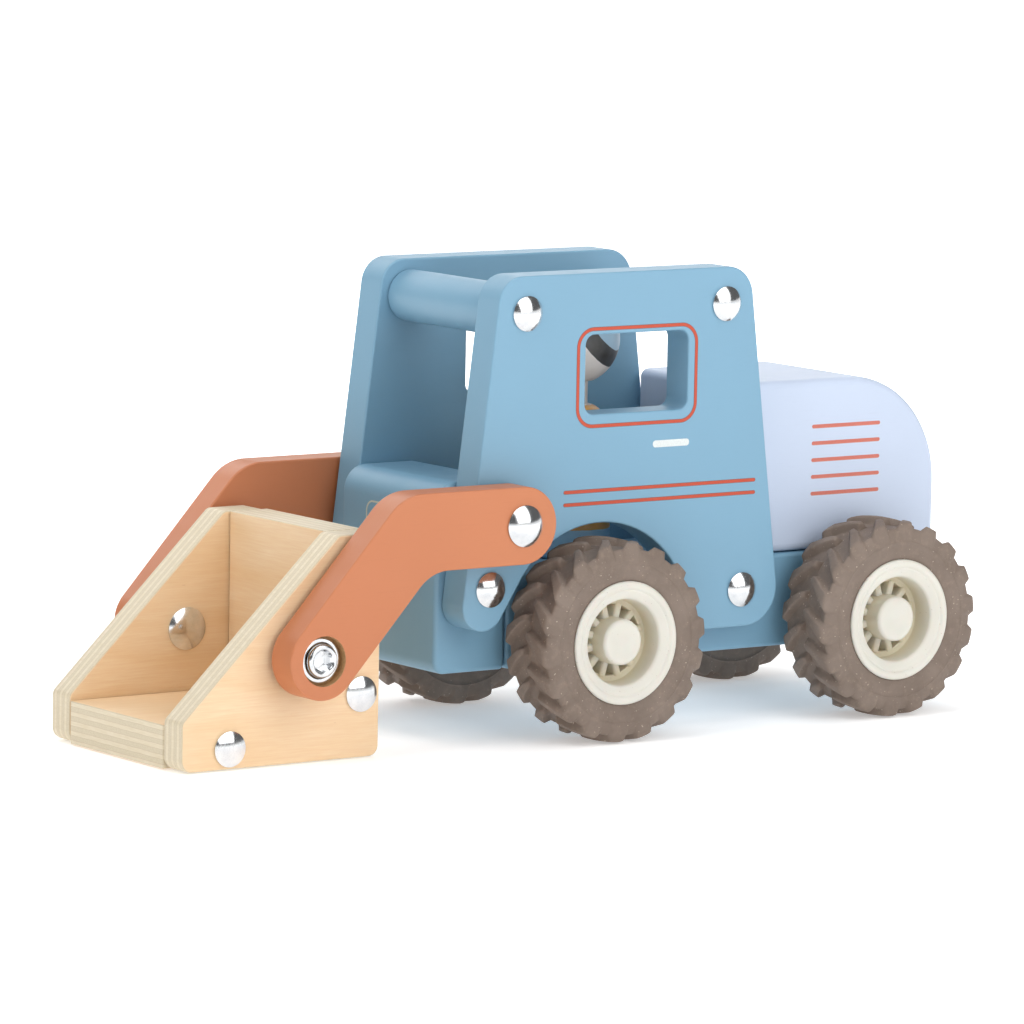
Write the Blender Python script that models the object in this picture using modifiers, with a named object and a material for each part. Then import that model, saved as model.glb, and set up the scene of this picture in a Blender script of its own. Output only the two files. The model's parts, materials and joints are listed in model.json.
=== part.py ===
"""A wooden toy front loader with a tilting bucket, rubber-tyred wheels and a peg-doll driver.

Metres. +X is ahead, towards the bucket, +Y is the driver's left and +Z is up. The origin lies on the
floor, in the middle of the footprint. The two cab sides carry everything: the chassis, the front block
and the roof dowels are screwed between them, the loader arms swing outside them on one steel rod, and
the bucket swings between the arms.
"""

from math import acos, atan2, cos, hypot, pi, radians, sin, tan

import bmesh
import bpy
from mathutils import Matrix, Vector


def mm(value):
    """Millimetres as metres."""
    return value * 0.001


# The whole toy
LENGTH = mm(269.3)
REAR = -LENGTH / 2
FRONT = LENGTH / 2
GAP = mm(0.3)  # air between two pieces that touch
EDGE = mm(0.9)  # sanded round of a wooden edge

# Wheels, whose flanks give the full width
TYRE_RADIUS = mm(28.8)
TYRE_TREAD_RADIUS = mm(26.2)  # between the lugs
TYRE_BORE = mm(16.5)
WHEEL_WIDTH = mm(21.0)
WHEEL_CENTRE_Y = mm(39.7)
WHEELBASE = mm(98.4)
AXLE_RADIUS = mm(2.5)
AXLE_BORE = AXLE_RADIUS + GAP
LUGS_A_SIDE = 18
LUG_SWEEP = radians(13)  # turn of a lug from the shoulder to the middle of the tread
HUB_CAP_RADIUS = mm(6.6)
DISH_RADIUS = mm(12.0)
POCKETS = 10

REAR_AXLE = (REAR + mm(32.5), TYRE_RADIUS)
FRONT_AXLE = (REAR_AXLE[0] + WHEELBASE, TYRE_RADIUS)

# Chassis, front block and engine hood, all as wide as the space between the cab sides
BODY_HALF_WIDTH = mm(24.0)
CHASSIS_BOTTOM = mm(19.5)
CHASSIS_TOP = mm(46.8)
FRONT_BLOCK_BACK = mm(20.0)
FRONT_BLOCK_FACE = mm(44.45)
FRONT_BLOCK_TOP = mm(74.3)
HOOD_FACE = mm(-62.1)
HOOD_TOP = mm(97.4)
HOOD_REAR_ROUND = mm(32.2)

# Cab sides
SIDE_THICKNESS = mm(10.7)
SIDE_INNER = BODY_HALF_WIDTH + GAP
SIDE_OUTER = SIDE_INNER + SIDE_THICKNESS
SIDE_BOTTOM = mm(28.2)
ROOF = mm(132.8)
FRONT_LEAN = radians(7.1)
REAR_LEAN = radians(7.3)
FRONT_TOP_ROUND = mm(8.0)
REAR_TOP_ROUND = mm(9.0)
REAR_LOW_CENTRE = (mm(-57.1), mm(39.2))
REAR_LOW_ROUND = mm(11.0)
LEG_CENTRE = (mm(35.3), mm(39.9))
LEG_ROUND = mm(7.1)
ARCH_CENTRE = (FRONT_AXLE[0] - mm(0.8), TYRE_RADIUS + mm(0.2))
ARCH_RADIUS = mm(32.4)
WINDOW = (mm(-34.5), mm(1.5), mm(92.5), mm(115.2))  # rear, front, bottom, top
WINDOW_ROUND = mm(3.0)

# Roof dowels, and the places where screws hold the sides
DOWEL_RADIUS = mm(7.5)
FRONT_DOWEL = (mm(22.2), mm(122.2))
REAR_DOWEL = (mm(-47.6), mm(122.2))
LEG_SCREW = (mm(33.2), mm(44.6))
REAR_SCREW = (mm(-55.2), mm(39.0))

# Screws with a domed head
HEAD_RADIUS = mm(5.0)
SHANK_RADIUS = mm(1.7)
SCREW_HOLE = SHANK_RADIUS + GAP
SCREW_DEPTH = mm(13.0)  # into the wood behind the first board

# Loader arms
ARM_THICKNESS = mm(10.0)
ARM_HALF_WIDTH = mm(11.0)
ARM_INNER = mm(36.2)
ARM_OUTER = ARM_INNER + ARM_THICKNESS
ARM_PIVOT = (mm(29.6), mm(63.8))
ARM_SLOPE = radians(-47.6)  # of the lower half, down to the bucket
ARM_OUTER_BEND = mm(14.5)
ARM_INNER_BEND = mm(13.0)
ROD_RADIUS = mm(2.8)
ROD_HOLE = ROD_RADIUS + GAP
ROD_CAP_RADIUS = mm(5.9)

# Bucket
BUCKET_PIVOT = (mm(96.2), mm(30.2))
BUCKET_BOTTOM = mm(0.2)
BUCKET_TOP = mm(63.0)
BUCKET_BACK = mm(69.8)
BUCKET_LIP_TOP = mm(14.0)
BUCKET_SHOULDER = mm(83.9)
BUCKET_SIDE_INNER = mm(24.8)
BUCKET_SIDE_OUTER = mm(34.2)
BACK_BOARD = mm(12.4)
FLOOR_BOARD = mm(12.2)
FLOOR_SCREW = (mm(119.2), mm(5.9))
BACK_SCREW = (mm(76.0), mm(18.1))
BARREL_RADIUS = mm(3.9)
BARREL_HOLE = BARREL_RADIUS + GAP
THREAD_RADIUS = mm(2.6)
COUNTERBORE_RADIUS = mm(7.2)
COUNTERBORE_DEPTH = mm(3.2)

# Driver
DRIVER_X = mm(-19.0)
DRIVER_RADIUS = mm(11.6)
DRIVER_NECK_RADIUS = mm(4.7)
DRIVER_SHOULDER = mm(90.4)
DRIVER_NECK_TOP = mm(98.0)
HEAD_CENTRE_Z = mm(111.6)
DRIVER_HEAD_RADIUS = mm(14.0)

FINISHES = {  # sRGB colour, roughness, metallic
    "blue_lacquer": ("8FB5CE", 0.45, 0.0),
    "pale_blue_lacquer": ("D5DFF3", 0.45, 0.0),
    "terracotta_lacquer": ("D68F6D", 0.45, 0.0),
    "birch_plywood": ("F2CFA5", 0.55, 0.0),
    "polished_steel": ("D8DADC", 0.12, 1.0),
    "cream_plastic": ("E6E3D6", 0.40, 0.0),
    "taupe_rubber": ("857569", 0.75, 0.0),
    "orange_lacquer": ("E0A045", 0.45, 0.0),
    "skin_lacquer": ("E8D8CC", 0.45, 0.0),
}


def clear_scene():
    """Removes every object, so that only this model is left."""
    for obj in list(bpy.data.objects):
        bpy.data.objects.remove(obj, do_unlink=True)


def new_collection(name):
    """A collection linked to the scene."""
    collection = bpy.data.collections.new(name)
    bpy.context.scene.collection.children.link(collection)
    return collection


def material_for(finish):
    """The finish's material, made the first time that it is asked for."""
    found = bpy.data.materials.get(finish)
    if found:
        return found
    colour, roughness, metallic = FINISHES[finish]
    channels = [int(colour[i : i + 2], 16) / 255 for i in (0, 2, 4)]
    linear = [c / 12.92 if c <= 0.04045 else ((c + 0.055) / 1.055) ** 2.4 for c in channels]
    material = bpy.data.materials.new(finish)
    material.use_nodes = True
    shader = material.node_tree.nodes["Principled BSDF"]
    shader.inputs["Base Color"].default_value = (*linear, 1.0)
    shader.inputs["Roughness"].default_value = roughness
    shader.inputs["Metallic"].default_value = metallic
    material.diffuse_color = (*linear, 1.0)
    return material


def add_object(name, mesh, finish=None, location=(0, 0, 0), rotation=(0, 0, 0), hinge=None):
    """A mesh as a named object of the toy, hung on its hinge's empty if it has one."""
    obj = bpy.data.objects.new(name, mesh)
    obj.location = location
    obj.rotation_euler = rotation
    (parts if finish else cutters).objects.link(obj)
    if finish:
        if not mesh.materials:
            mesh.materials.append(material_for(finish))
    else:
        obj.hide_render = True
        obj.display_type = "WIRE"
    if hinge:
        obj.parent = hinge
        obj.matrix_parent_inverse = Matrix.Translation(hinge.location).inverted()
    return obj


def hinge_at(name, point, parent=None):
    """An empty on a hinge's axis, in the middle of the toy. Its own parent is the hinge before it."""
    empty = bpy.data.objects.new(name, None)
    empty.location = (point[0], 0, point[1])
    empty.empty_display_size = mm(20)
    parts.objects.link(empty)
    if parent:
        empty.parent = parent
        empty.matrix_parent_inverse = Matrix.Translation(parent.location).inverted()
    return empty


def arc(centre, radius, start, end, step=7.5):
    """Points of a circular arc from one angle to the other, in degrees, both ends included."""
    count = max(2, round(abs(end - start) / step))
    angles = [radians(start + (end - start) * i / count) for i in range(count + 1)]
    return [(centre[0] + radius * cos(a), centre[1] + radius * sin(a)) for a in angles]


def rounded(corners, step=9):
    """A closed outline through (x, z, radius) corners, each replaced by the arc that touches both sides."""
    outline = []
    for index, (x, z, radius) in enumerate(corners):
        if not radius:
            outline.append((x, z))
            continue
        corner = Vector((x, z))
        back = (Vector(corners[index - 1][:2]) - corner).normalized()
        ahead = (Vector(corners[(index + 1) % len(corners)][:2]) - corner).normalized()
        half = acos(max(-1.0, min(1.0, back.dot(ahead)))) / 2
        centre = corner + (back + ahead).normalized() * (radius / sin(half))
        first = corner + back * (radius / tan(half)) - centre
        last = corner + ahead * (radius / tan(half)) - centre
        start = atan2(first.y, first.x)
        turn = (atan2(last.y, last.x) - start + pi) % (2 * pi) - pi
        outline += arc(centre, radius, start * 180 / pi, (start + turn) * 180 / pi, step)
    return outline


def board(outline, y_low, y_high):
    """A mesh of the flat XZ outline, cut from board that reaches from y_low to y_high."""
    curve = bpy.data.curves.new("outline", "CURVE")
    curve.dimensions = "2D"
    curve.fill_mode = "BOTH"
    curve.extrude = (y_high - y_low) / 2
    spline = curve.splines.new("POLY")
    spline.points.add(len(outline) - 1)
    for point, (x, z) in zip(spline.points, outline):
        point.co = (x, z, 0, 1)
    spline.use_cyclic_u = True
    guide = bpy.data.objects.new("outline", curve)
    cutters.objects.link(guide)
    bpy.context.view_layer.update()
    mesh = bpy.data.meshes.new_from_object(guide.evaluated_get(bpy.context.evaluated_depsgraph_get()))
    bpy.data.objects.remove(guide)
    bpy.data.curves.remove(curve)
    upright = Matrix.Translation((0, (y_low + y_high) / 2, 0)) @ Matrix.Rotation(pi / 2, 4, "X")
    solid = bmesh.new()
    solid.from_mesh(mesh)
    bmesh.ops.remove_doubles(solid, verts=solid.verts, dist=1e-6)
    bmesh.ops.dissolve_limit(solid, angle_limit=radians(0.5), verts=solid.verts, edges=solid.edges)
    bmesh.ops.transform(solid, matrix=upright, verts=solid.verts)
    bmesh.ops.recalc_face_normals(solid, faces=solid.faces)
    solid.to_mesh(mesh)
    solid.free()
    mesh.materials.clear()
    return mesh


def cylinders(rods):
    """A mesh of separate Y cylinders, each given as (x, z), radius, y_low, y_high."""
    solid = bmesh.new()
    for (x, z), radius, y_low, y_high in rods:
        place = Matrix.Translation((x, (y_low + y_high) / 2, z)) @ Matrix.Rotation(pi / 2, 4, "X")
        bmesh.ops.create_cone(
            solid,
            cap_ends=True,
            segments=12,
            radius1=radius,
            radius2=radius,
            depth=y_high - y_low,
            matrix=place,
        )
    mesh = bpy.data.meshes.new("rods")
    solid.to_mesh(mesh)
    solid.free()
    return mesh


def round_edges(obj, width=EDGE, segments=1):
    """Sands the sharp edges round."""
    bevel = obj.modifiers.new("sanded edges", "BEVEL")
    bevel.width = width
    bevel.segments = segments
    bevel.limit_method = "ANGLE"
    bevel.angle_limit = radians(40)
    bevel.loop_slide = False


def combine(obj, mesh, operation):
    """Cuts a mesh from the object, or joins it on, with a live Boolean."""
    cutter = add_object(f"{obj.name} {operation.lower()}", mesh)
    boolean = obj.modifiers.new(operation.lower(), "BOOLEAN")
    boolean.operation = operation
    boolean.solver = "EXACT"
    boolean.object = cutter


def drill(obj, holes):
    """Drills round holes along Y, each given as (x, z), radius, y_low, y_high."""
    combine(obj, cylinders(holes), "DIFFERENCE")


def both_ways(place, radius, shallow, deep):
    """The same hole from the left flank and from the right one."""
    return [(place, radius, shallow, deep), (place, radius, -deep, -shallow)]


def turned(profile, steps, closed=False):
    """A mesh turned about Z from (radius, height) points that run down the outer side."""
    mesh = bpy.data.meshes.new("profile")
    count = len(profile)
    edges = [(i, (i + 1) % count) for i in range(count if closed else count - 1)]
    mesh.from_pydata([(radius, 0, height) for radius, height in profile], edges, [])
    lathe = bpy.data.objects.new("profile", mesh)
    cutters.objects.link(lathe)
    screw = lathe.modifiers.new("turned", "SCREW")
    screw.steps = steps
    screw.render_steps = steps
    screw.use_merge_vertices = True
    screw.merge_threshold = 1e-5
    return frozen(lathe)


def frozen(obj):
    """The object's mesh with its modifiers carried out. The object itself is removed."""
    bpy.context.view_layer.update()
    mesh = bpy.data.meshes.new_from_object(obj.evaluated_get(bpy.context.evaluated_depsgraph_get()))
    bpy.data.objects.remove(obj)
    mesh.shade_smooth()
    mesh.set_sharp_from_angle(angle=radians(35))
    return mesh


def dome(radius, height, points=3):
    """The profile of a shallow dome, from its top down to its rim at height 0."""
    ball = (radius * radius + height * height) / (2 * height)
    widest = 2 * atan2(height, radius)
    angles = [widest * i / points for i in range(points + 1)]
    return [(ball * sin(a), ball * cos(a) - ball + height) for a in angles]


LEFT = (-pi / 2, 0, 0)  # turns a piece's +Z to +Y
RIGHT = (pi / 2, 0, 0)


def place_pair(name, mesh, finish, place, y, hinge=None):
    """The same turned piece on the left flank and, facing the other way, on the right one."""
    for side, sign, rotation in (("left", 1, LEFT), ("right", -1, RIGHT)):
        where = (place[0], sign * y, place[1])
        add_object(f"{name}_{side}", mesh, finish, where, rotation, hinge)


def add_body():
    """Chassis, front block and engine hood."""
    width = (-BODY_HALF_WIDTH, BODY_HALF_WIDTH)
    corner = mm(1.5)
    chassis = add_object(
        "chassis_block",
        board(
            rounded(
                [
                    (REAR, CHASSIS_BOTTOM, corner),
                    (FRONT_BLOCK_BACK - GAP, CHASSIS_BOTTOM, corner),
                    (FRONT_BLOCK_BACK - GAP, CHASSIS_TOP, corner),
                    (REAR, CHASSIS_TOP, corner),
                ],
                step=30,
            ),
            *width,
        ),
        "blue_lacquer",
    )
    round_edges(chassis)
    through = (-2 * BODY_HALF_WIDTH, 2 * BODY_HALF_WIDTH)
    holes = [(axle, AXLE_BORE, *through) for axle in (REAR_AXLE, FRONT_AXLE)]
    deep = BODY_HALF_WIDTH - SCREW_DEPTH - GAP
    holes += both_ways(REAR_SCREW, SCREW_HOLE, deep, 2 * BODY_HALF_WIDTH)
    drill(chassis, holes)

    front_block = add_object(
        "front_block",
        board(
            rounded(
                [
                    (FRONT_BLOCK_BACK, CHASSIS_BOTTOM, corner),
                    (FRONT_BLOCK_FACE, CHASSIS_BOTTOM, mm(4.0)),
                    (FRONT_BLOCK_FACE, FRONT_BLOCK_TOP, mm(7.3)),
                    (FRONT_BLOCK_BACK, FRONT_BLOCK_TOP, corner),
                ],
                step=15,
            ),
            *width,
        ),
        "blue_lacquer",
    )
    round_edges(front_block)
    holes = [(ARM_PIVOT, ROD_HOLE, *through)]
    holes += both_ways(LEG_SCREW, SCREW_HOLE, deep, 2 * BODY_HALF_WIDTH)
    drill(front_block, holes)

    hood = add_object(
        "engine_hood",
        board(
            rounded(
                [
                    (REAR, CHASSIS_TOP + GAP, 0),
                    (HOOD_FACE, CHASSIS_TOP + GAP, 0),
                    (HOOD_FACE, HOOD_TOP, 0),
                    (REAR, HOOD_TOP, HOOD_REAR_ROUND),
                ],
                step=10,
            ),
            *width,
        ),
        "pale_blue_lacquer",
    )
    round_edges(hood, mm(2.2), 2)


def cab_side_outline():
    """The leaning side of the cab, with its front leg and the arch over the front wheel."""
    ahead = Vector((cos(FRONT_LEAN), sin(FRONT_LEAN)))
    reach = ahead.dot(LEG_CENTRE) + LEG_ROUND
    front_z = ROOF - FRONT_TOP_ROUND
    front_x = (reach - FRONT_TOP_ROUND - front_z * ahead.y) / ahead.x
    behind = Vector((-cos(REAR_LEAN), sin(REAR_LEAN)))
    reach = behind.dot(REAR_LOW_CENTRE) + REAR_LOW_ROUND
    rear_z = ROOF - REAR_TOP_ROUND
    rear_x = (reach - REAR_TOP_ROUND - rear_z * behind.y) / behind.x
    # One straight edge touches the leg's round end and the arch, which lie on its two sides.
    to_leg = Vector(LEG_CENTRE) - Vector(ARCH_CENTRE)
    touch = atan2(to_leg.y, to_leg.x) + acos((ARCH_RADIUS + LEG_ROUND) / to_leg.length)
    touch *= 180 / pi
    foot = pi - acos((ARCH_CENTRE[1] - SIDE_BOTTOM) / ARCH_RADIUS) + pi / 2
    lean, rear_lean = FRONT_LEAN * 180 / pi, REAR_LEAN * 180 / pi
    return (
        arc((front_x, front_z), FRONT_TOP_ROUND, 90, lean, 17)
        + arc(LEG_CENTRE, LEG_ROUND, lean, touch - 180, 20)
        + arc(ARCH_CENTRE, ARCH_RADIUS, touch, foot * 180 / pi, 8)
        + arc(REAR_LOW_CENTRE, REAR_LOW_ROUND, 270, 180 - rear_lean, 17)
        + arc((rear_x, rear_z), REAR_TOP_ROUND, 180 - rear_lean, 90, 17)
    )


def window_outline():
    """The rounded window."""
    rear, front, bottom, top = WINDOW
    corners = ((rear, bottom), (front, bottom), (front, top), (rear, top))
    return rounded([(x, z, WINDOW_ROUND) for x, z in corners], step=30)


def add_cab():
    """Cab sides, the two dowels that hold the roof apart, and the screws."""
    screw = turned(
        [(x, z + GAP) for x, z in dome(HEAD_RADIUS, mm(2.0))]
        + [
            (SHANK_RADIUS, GAP),
            (SHANK_RADIUS, -SIDE_THICKNESS - SCREW_DEPTH + mm(2.0)),
            (0, -SIDE_THICKNESS - SCREW_DEPTH),
        ],
        steps=12,
    )
    places = {
        "front_dowel_screw": FRONT_DOWEL,
        "rear_dowel_screw": REAR_DOWEL,
        "leg_screw": LEG_SCREW,
        "chassis_screw": REAR_SCREW,
    }
    for sign, side in ((1, "left"), (-1, "right")):
        low, high = sorted((sign * SIDE_INNER, sign * SIDE_OUTER))
        plate = add_object(f"cab_side_{side}", board(cab_side_outline(), low, high), "blue_lacquer")
        combine(plate, board(window_outline(), low - mm(5), high + mm(5)), "DIFFERENCE")
        round_edges(plate)
        past = (low - mm(5), high + mm(5))
        holes = [(place, SCREW_HOLE, *past) for place in places.values()]
        drill(plate, holes + [(ARM_PIVOT, ROD_HOLE, *past)])
    for name, place in places.items():
        place_pair(name, screw, "polished_steel", place, SIDE_OUTER)

    end = BODY_HALF_WIDTH
    depth = end - SCREW_DEPTH - GAP
    half = [(0, depth), (SCREW_HOLE, depth), (SCREW_HOLE, end), (DOWEL_RADIUS - mm(0.6), end)]
    half += [(DOWEL_RADIUS, end - mm(0.6))]
    dowel = turned(half + [(radius, -height) for radius, height in reversed(half)], steps=20)
    for name, (x, z) in (("roof_dowel_front", FRONT_DOWEL), ("roof_dowel_rear", REAR_DOWEL)):
        add_object(name, dowel, "blue_lacquer", (x, 0, z), LEFT)


def arm_outline():
    """The bent arm: level from its pivot, then down to the bucket, as wide all the way."""
    level = Vector((0, 1))
    along = Vector((cos(ARM_SLOPE), sin(ARM_SLOPE)))
    across = Vector((-along.y, along.x))
    bucket = Vector(BUCKET_PIVOT)
    bend = bucket - along * ((bucket.y - ARM_PIVOT[1]) / along.y)
    mitre = (level + across) * (ARM_HALF_WIDTH / (1 + level.dot(across)))
    end = bucket + along * ARM_HALF_WIDTH
    rear = ARM_PIVOT[0] - ARM_HALF_WIDTH
    half = ARM_HALF_WIDTH
    return rounded(
        [
            (rear, ARM_PIVOT[1] - half, half),
            (*(bend - mitre), ARM_INNER_BEND),
            (*(end - across * half), half),
            (*(end + across * half), half),
            (*(bend + mitre), ARM_OUTER_BEND),
            (rear, ARM_PIVOT[1] + half, half),
        ],
        step=15,
    )


def ring(inner, outer, thickness, steps=12):
    """A flat washer about Z, standing on height 0."""
    profile = [(inner, thickness), (outer, thickness), (outer, 0), (inner, 0)]
    return turned(profile, steps, closed=True)


def add_loader(lift):
    """The arms, and the rod through the front block that they swing on."""
    for sign, side in ((1, "left"), (-1, "right")):
        low, high = sorted((sign * ARM_INNER, sign * ARM_OUTER))
        arm = add_object(
            f"loader_arm_{side}", board(arm_outline(), low, high), "terracotta_lacquer", hinge=lift
        )
        round_edges(arm)
        bore = sorted((sign * (ARM_OUTER - COUNTERBORE_DEPTH), sign * (ARM_OUTER + mm(5))))
        past = (low - mm(5), high + mm(5))
        holes = [(ARM_PIVOT, ROD_HOLE, *past), (BUCKET_PIVOT, BARREL_HOLE, *past)]
        drill(arm, holes)
        drill(arm, [(BUCKET_PIVOT, COUNTERBORE_RADIUS, *bore)])

    tip = ARM_OUTER - mm(0.5)
    rod = turned(
        [(0, tip), (ROD_RADIUS, tip), (ROD_RADIUS, -tip), (0, -tip)],
        steps=12,
    )
    add_object("arm_pivot_rod", rod, "polished_steel", (ARM_PIVOT[0], 0, ARM_PIVOT[1]), LEFT, lift)
    cap = turned([*dome(ROD_CAP_RADIUS, mm(2.4)), (0, 0)], steps=16)
    place_pair("arm_pivot_cap", cap, "polished_steel", ARM_PIVOT, ARM_OUTER + GAP, lift)
    washer = ring(ROD_HOLE, mm(7.0), mm(0.6))
    place_pair("arm_washer", washer, "polished_steel", ARM_PIVOT, SIDE_OUTER + GAP)


def bucket_side_outline():
    """The bucket's side: square behind and below, and cut back at a slant from the lip to the shoulder."""
    return rounded(
        [
            (BUCKET_BACK, BUCKET_BOTTOM, mm(3.0)),
            (FRONT, BUCKET_BOTTOM, mm(3.5)),
            (FRONT, BUCKET_LIP_TOP, mm(2.5)),
            (BUCKET_SHOULDER, BUCKET_TOP, mm(2.5)),
            (BUCKET_BACK, BUCKET_TOP, mm(2.5)),
        ],
        step=18,
    )


def box_outline(rear, front, bottom, top, corner=mm(1.0)):
    """A plain board's end, with its corners eased."""
    corners = ((rear, bottom), (front, bottom), (front, top), (rear, top))
    return rounded([(x, z, corner) for x, z in corners], step=45)


def add_bucket(tilt):
    """Plywood bucket: two sides, a back board and a floor board, held by screws."""
    for sign, side in ((1, "left"), (-1, "right")):
        low, high = sorted((sign * BUCKET_SIDE_INNER, sign * BUCKET_SIDE_OUTER))
        wall = add_object(
            f"bucket_side_{side}", board(bucket_side_outline(), low, high), "birch_plywood", hinge=tilt
        )
        round_edges(wall, mm(0.7))
        past = (low - mm(5), high + mm(5))
        holes = [(place, SCREW_HOLE, *past) for place in (FLOOR_SCREW, BACK_SCREW)]
        drill(wall, holes + [(BUCKET_PIVOT, BARREL_HOLE, *past)])

    half_width = BUCKET_SIDE_INNER - GAP
    deep = half_width - SCREW_DEPTH - GAP
    back_face = BUCKET_BACK + BACK_BOARD
    boards = {
        "bucket_back": (box_outline(BUCKET_BACK, back_face, BUCKET_BOTTOM, BUCKET_TOP), BACK_SCREW),
        "bucket_floor": (
            box_outline(back_face + GAP, FRONT, BUCKET_BOTTOM, BUCKET_BOTTOM + FLOOR_BOARD),
            FLOOR_SCREW,
        ),
    }
    for name, (outline, place) in boards.items():
        piece = add_object(name, board(outline, -half_width, half_width), "birch_plywood", hinge=tilt)
        drill(piece, both_ways(place, SCREW_HOLE, deep, 2 * half_width))

    length = BUCKET_SIDE_OUTER - BUCKET_SIDE_INNER + SCREW_DEPTH
    screw = turned(
        [(x, z + GAP) for x, z in dome(HEAD_RADIUS, mm(1.4))]
        + [(SHANK_RADIUS, GAP), (SHANK_RADIUS, mm(2.0) - length), (0, -length)],
        steps=12,
    )
    place_pair("bucket_floor_screw", screw, "polished_steel", FLOOR_SCREW, BUCKET_SIDE_OUTER, tilt)
    place_pair("bucket_back_screw", screw, "polished_steel", BACK_SCREW, BUCKET_SIDE_OUTER, tilt)


def add_bucket_pivots(lift, tilt):
    """On each flank a socket-head bolt, sunk in the arm, screws into a cap nut inside the bucket."""
    seat = ARM_OUTER - COUNTERBORE_DEPTH
    washer_thickness = mm(1.0)
    washer = ring(BARREL_HOLE, mm(6.5), washer_thickness)
    place_pair("bucket_pivot_washer", washer, "polished_steel", BUCKET_PIVOT, seat + GAP, lift)

    # Heights of the bolt are measured from the middle of the toy, and so is its place.
    under_head = seat + 2 * GAP + washer_thickness
    top = under_head + mm(1.4)
    shoulder = BUCKET_SIDE_OUTER - mm(0.7)
    bolt = turned(
        [
            (0, top - mm(4.0)),
            (mm(3.0), top - mm(4.0)),
            (mm(3.0), top - mm(0.4)),
            (mm(3.5), top),
            (mm(4.6), top),
            (mm(5.05), top - mm(0.5)),
            (mm(5.05), under_head),
            (BARREL_RADIUS, under_head),
            (BARREL_RADIUS, shoulder),
            (THREAD_RADIUS, shoulder),
            (THREAD_RADIUS, BUCKET_SIDE_INNER + mm(1.0)),
            (0, BUCKET_SIDE_INNER + mm(1.0)),
        ],
        steps=14,
    )
    place_pair("bucket_pivot_bolt", bolt, "polished_steel", BUCKET_PIVOT, 0, tilt)

    spacer = ring(BARREL_HOLE, mm(7.0), ARM_INNER - BUCKET_SIDE_OUTER - 2 * GAP)
    place_pair("bucket_spacer", spacer, "polished_steel", BUCKET_PIVOT, BUCKET_SIDE_OUTER + GAP, tilt)

    inside = BUCKET_SIDE_INNER - GAP
    cap = [(radius, inside - height) for radius, height in reversed(dome(mm(6.6), mm(1.9)))]
    nut = turned(
        [
            (0, BUCKET_SIDE_INNER + mm(0.7)),
            (THREAD_RADIUS + GAP, BUCKET_SIDE_INNER + mm(0.7)),
            (THREAD_RADIUS + GAP, shoulder - GAP),
            (BARREL_RADIUS, shoulder - GAP),
            (BARREL_RADIUS, inside),
            *cap,
        ],
        steps=14,
    )
    place_pair("bucket_cap_nut", nut, "polished_steel", BUCKET_PIVOT, 0, tilt)


def tyre_mesh():
    """A soft tractor tyre, lofted over one pitch of its tread and repeated round the wheel.

    Each half carries one swept lug in the pitch, and the two halves are half a pitch apart.
    """
    half = WHEEL_WIDTH / 2
    pitch = 2 * pi / LUGS_A_SIDE
    beside = 4.6 / 52  # half the lug's foot, as an angle
    plain = ((TYRE_BORE, half - mm(1.8)), (mm(18.3), half - mm(0.6)))
    # groove radius, groove height, lug radius, lug height, half the lug's crest, share of the sweep
    lug = (
        (mm(22.4), half - mm(0.3), mm(22.8), half - mm(0.1), 0.072, 0.0),
        (mm(25.2), half - mm(1.7), mm(28.2), half - mm(0.8), 0.058, 0.08),
        (TYRE_TREAD_RADIUS, mm(1.6), TYRE_RADIUS, mm(1.4), 0.036, 0.9),
        (TYRE_TREAD_RADIUS, mm(0.5), TYRE_TREAD_RADIUS, mm(0.4), 0.03, 1.0),
    )
    solid = bmesh.new()

    def row(points, side, middle):
        """Vertices along one row of the tread, from (radius, height, angle) points."""
        return [
            solid.verts.new((r * cos(middle + a), r * sin(middle + a), side * h))
            for r, h, a in points
        ]

    halves = []
    for side in (1, -1):
        start = 0 if side > 0 else pitch / 2
        rows = [
            row([(r, h, a) for a in (-beside, beside, pitch - beside)], side, start)
            for r, h in plain
        ]
        for groove, low, crest, high, narrow, share in lug:
            points = [
                (groove, low, -beside),
                (crest, high, -narrow),
                (crest, high, narrow),
                (groove, low, beside),
                (groove, low, pitch - beside),
            ]
            rows.append(row(points, side, start - LUG_SWEEP * share))
        bead, flank = rows[1], rows[2]
        solid.faces.new((*bead[:2], *flank[3::-1]))
        solid.faces.new((*bead[1:], *flank[:2:-1]))
        for near, far in ((rows[0], rows[1]), *zip(rows[2:], rows[3:])):
            for i in range(len(near) - 1):
                solid.faces.new((near[i], near[i + 1], far[i + 1], far[i]))
        halves.append(rows)
    for near, far in ((halves[0][0], halves[1][0]), (halves[0][-1], halves[1][-1])):
        for i in range(len(near) - 1):
            solid.faces.new((near[i], near[i + 1], far[i + 1], far[i]))
    bmesh.ops.spin(
        solid,
        geom=solid.verts[:] + solid.edges[:] + solid.faces[:],
        axis=(0, 0, 1),
        angle=2 * pi - pitch,
        steps=LUGS_A_SIDE - 1,
        use_duplicate=True,
    )
    bmesh.ops.remove_doubles(solid, verts=solid.verts, dist=1e-6)
    bmesh.ops.recalc_face_normals(solid, faces=solid.faces)
    mesh = bpy.data.meshes.new("tyre")
    solid.to_mesh(mesh)
    solid.free()
    mesh.shade_smooth()
    mesh.set_sharp_from_angle(angle=radians(30))
    return mesh


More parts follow.
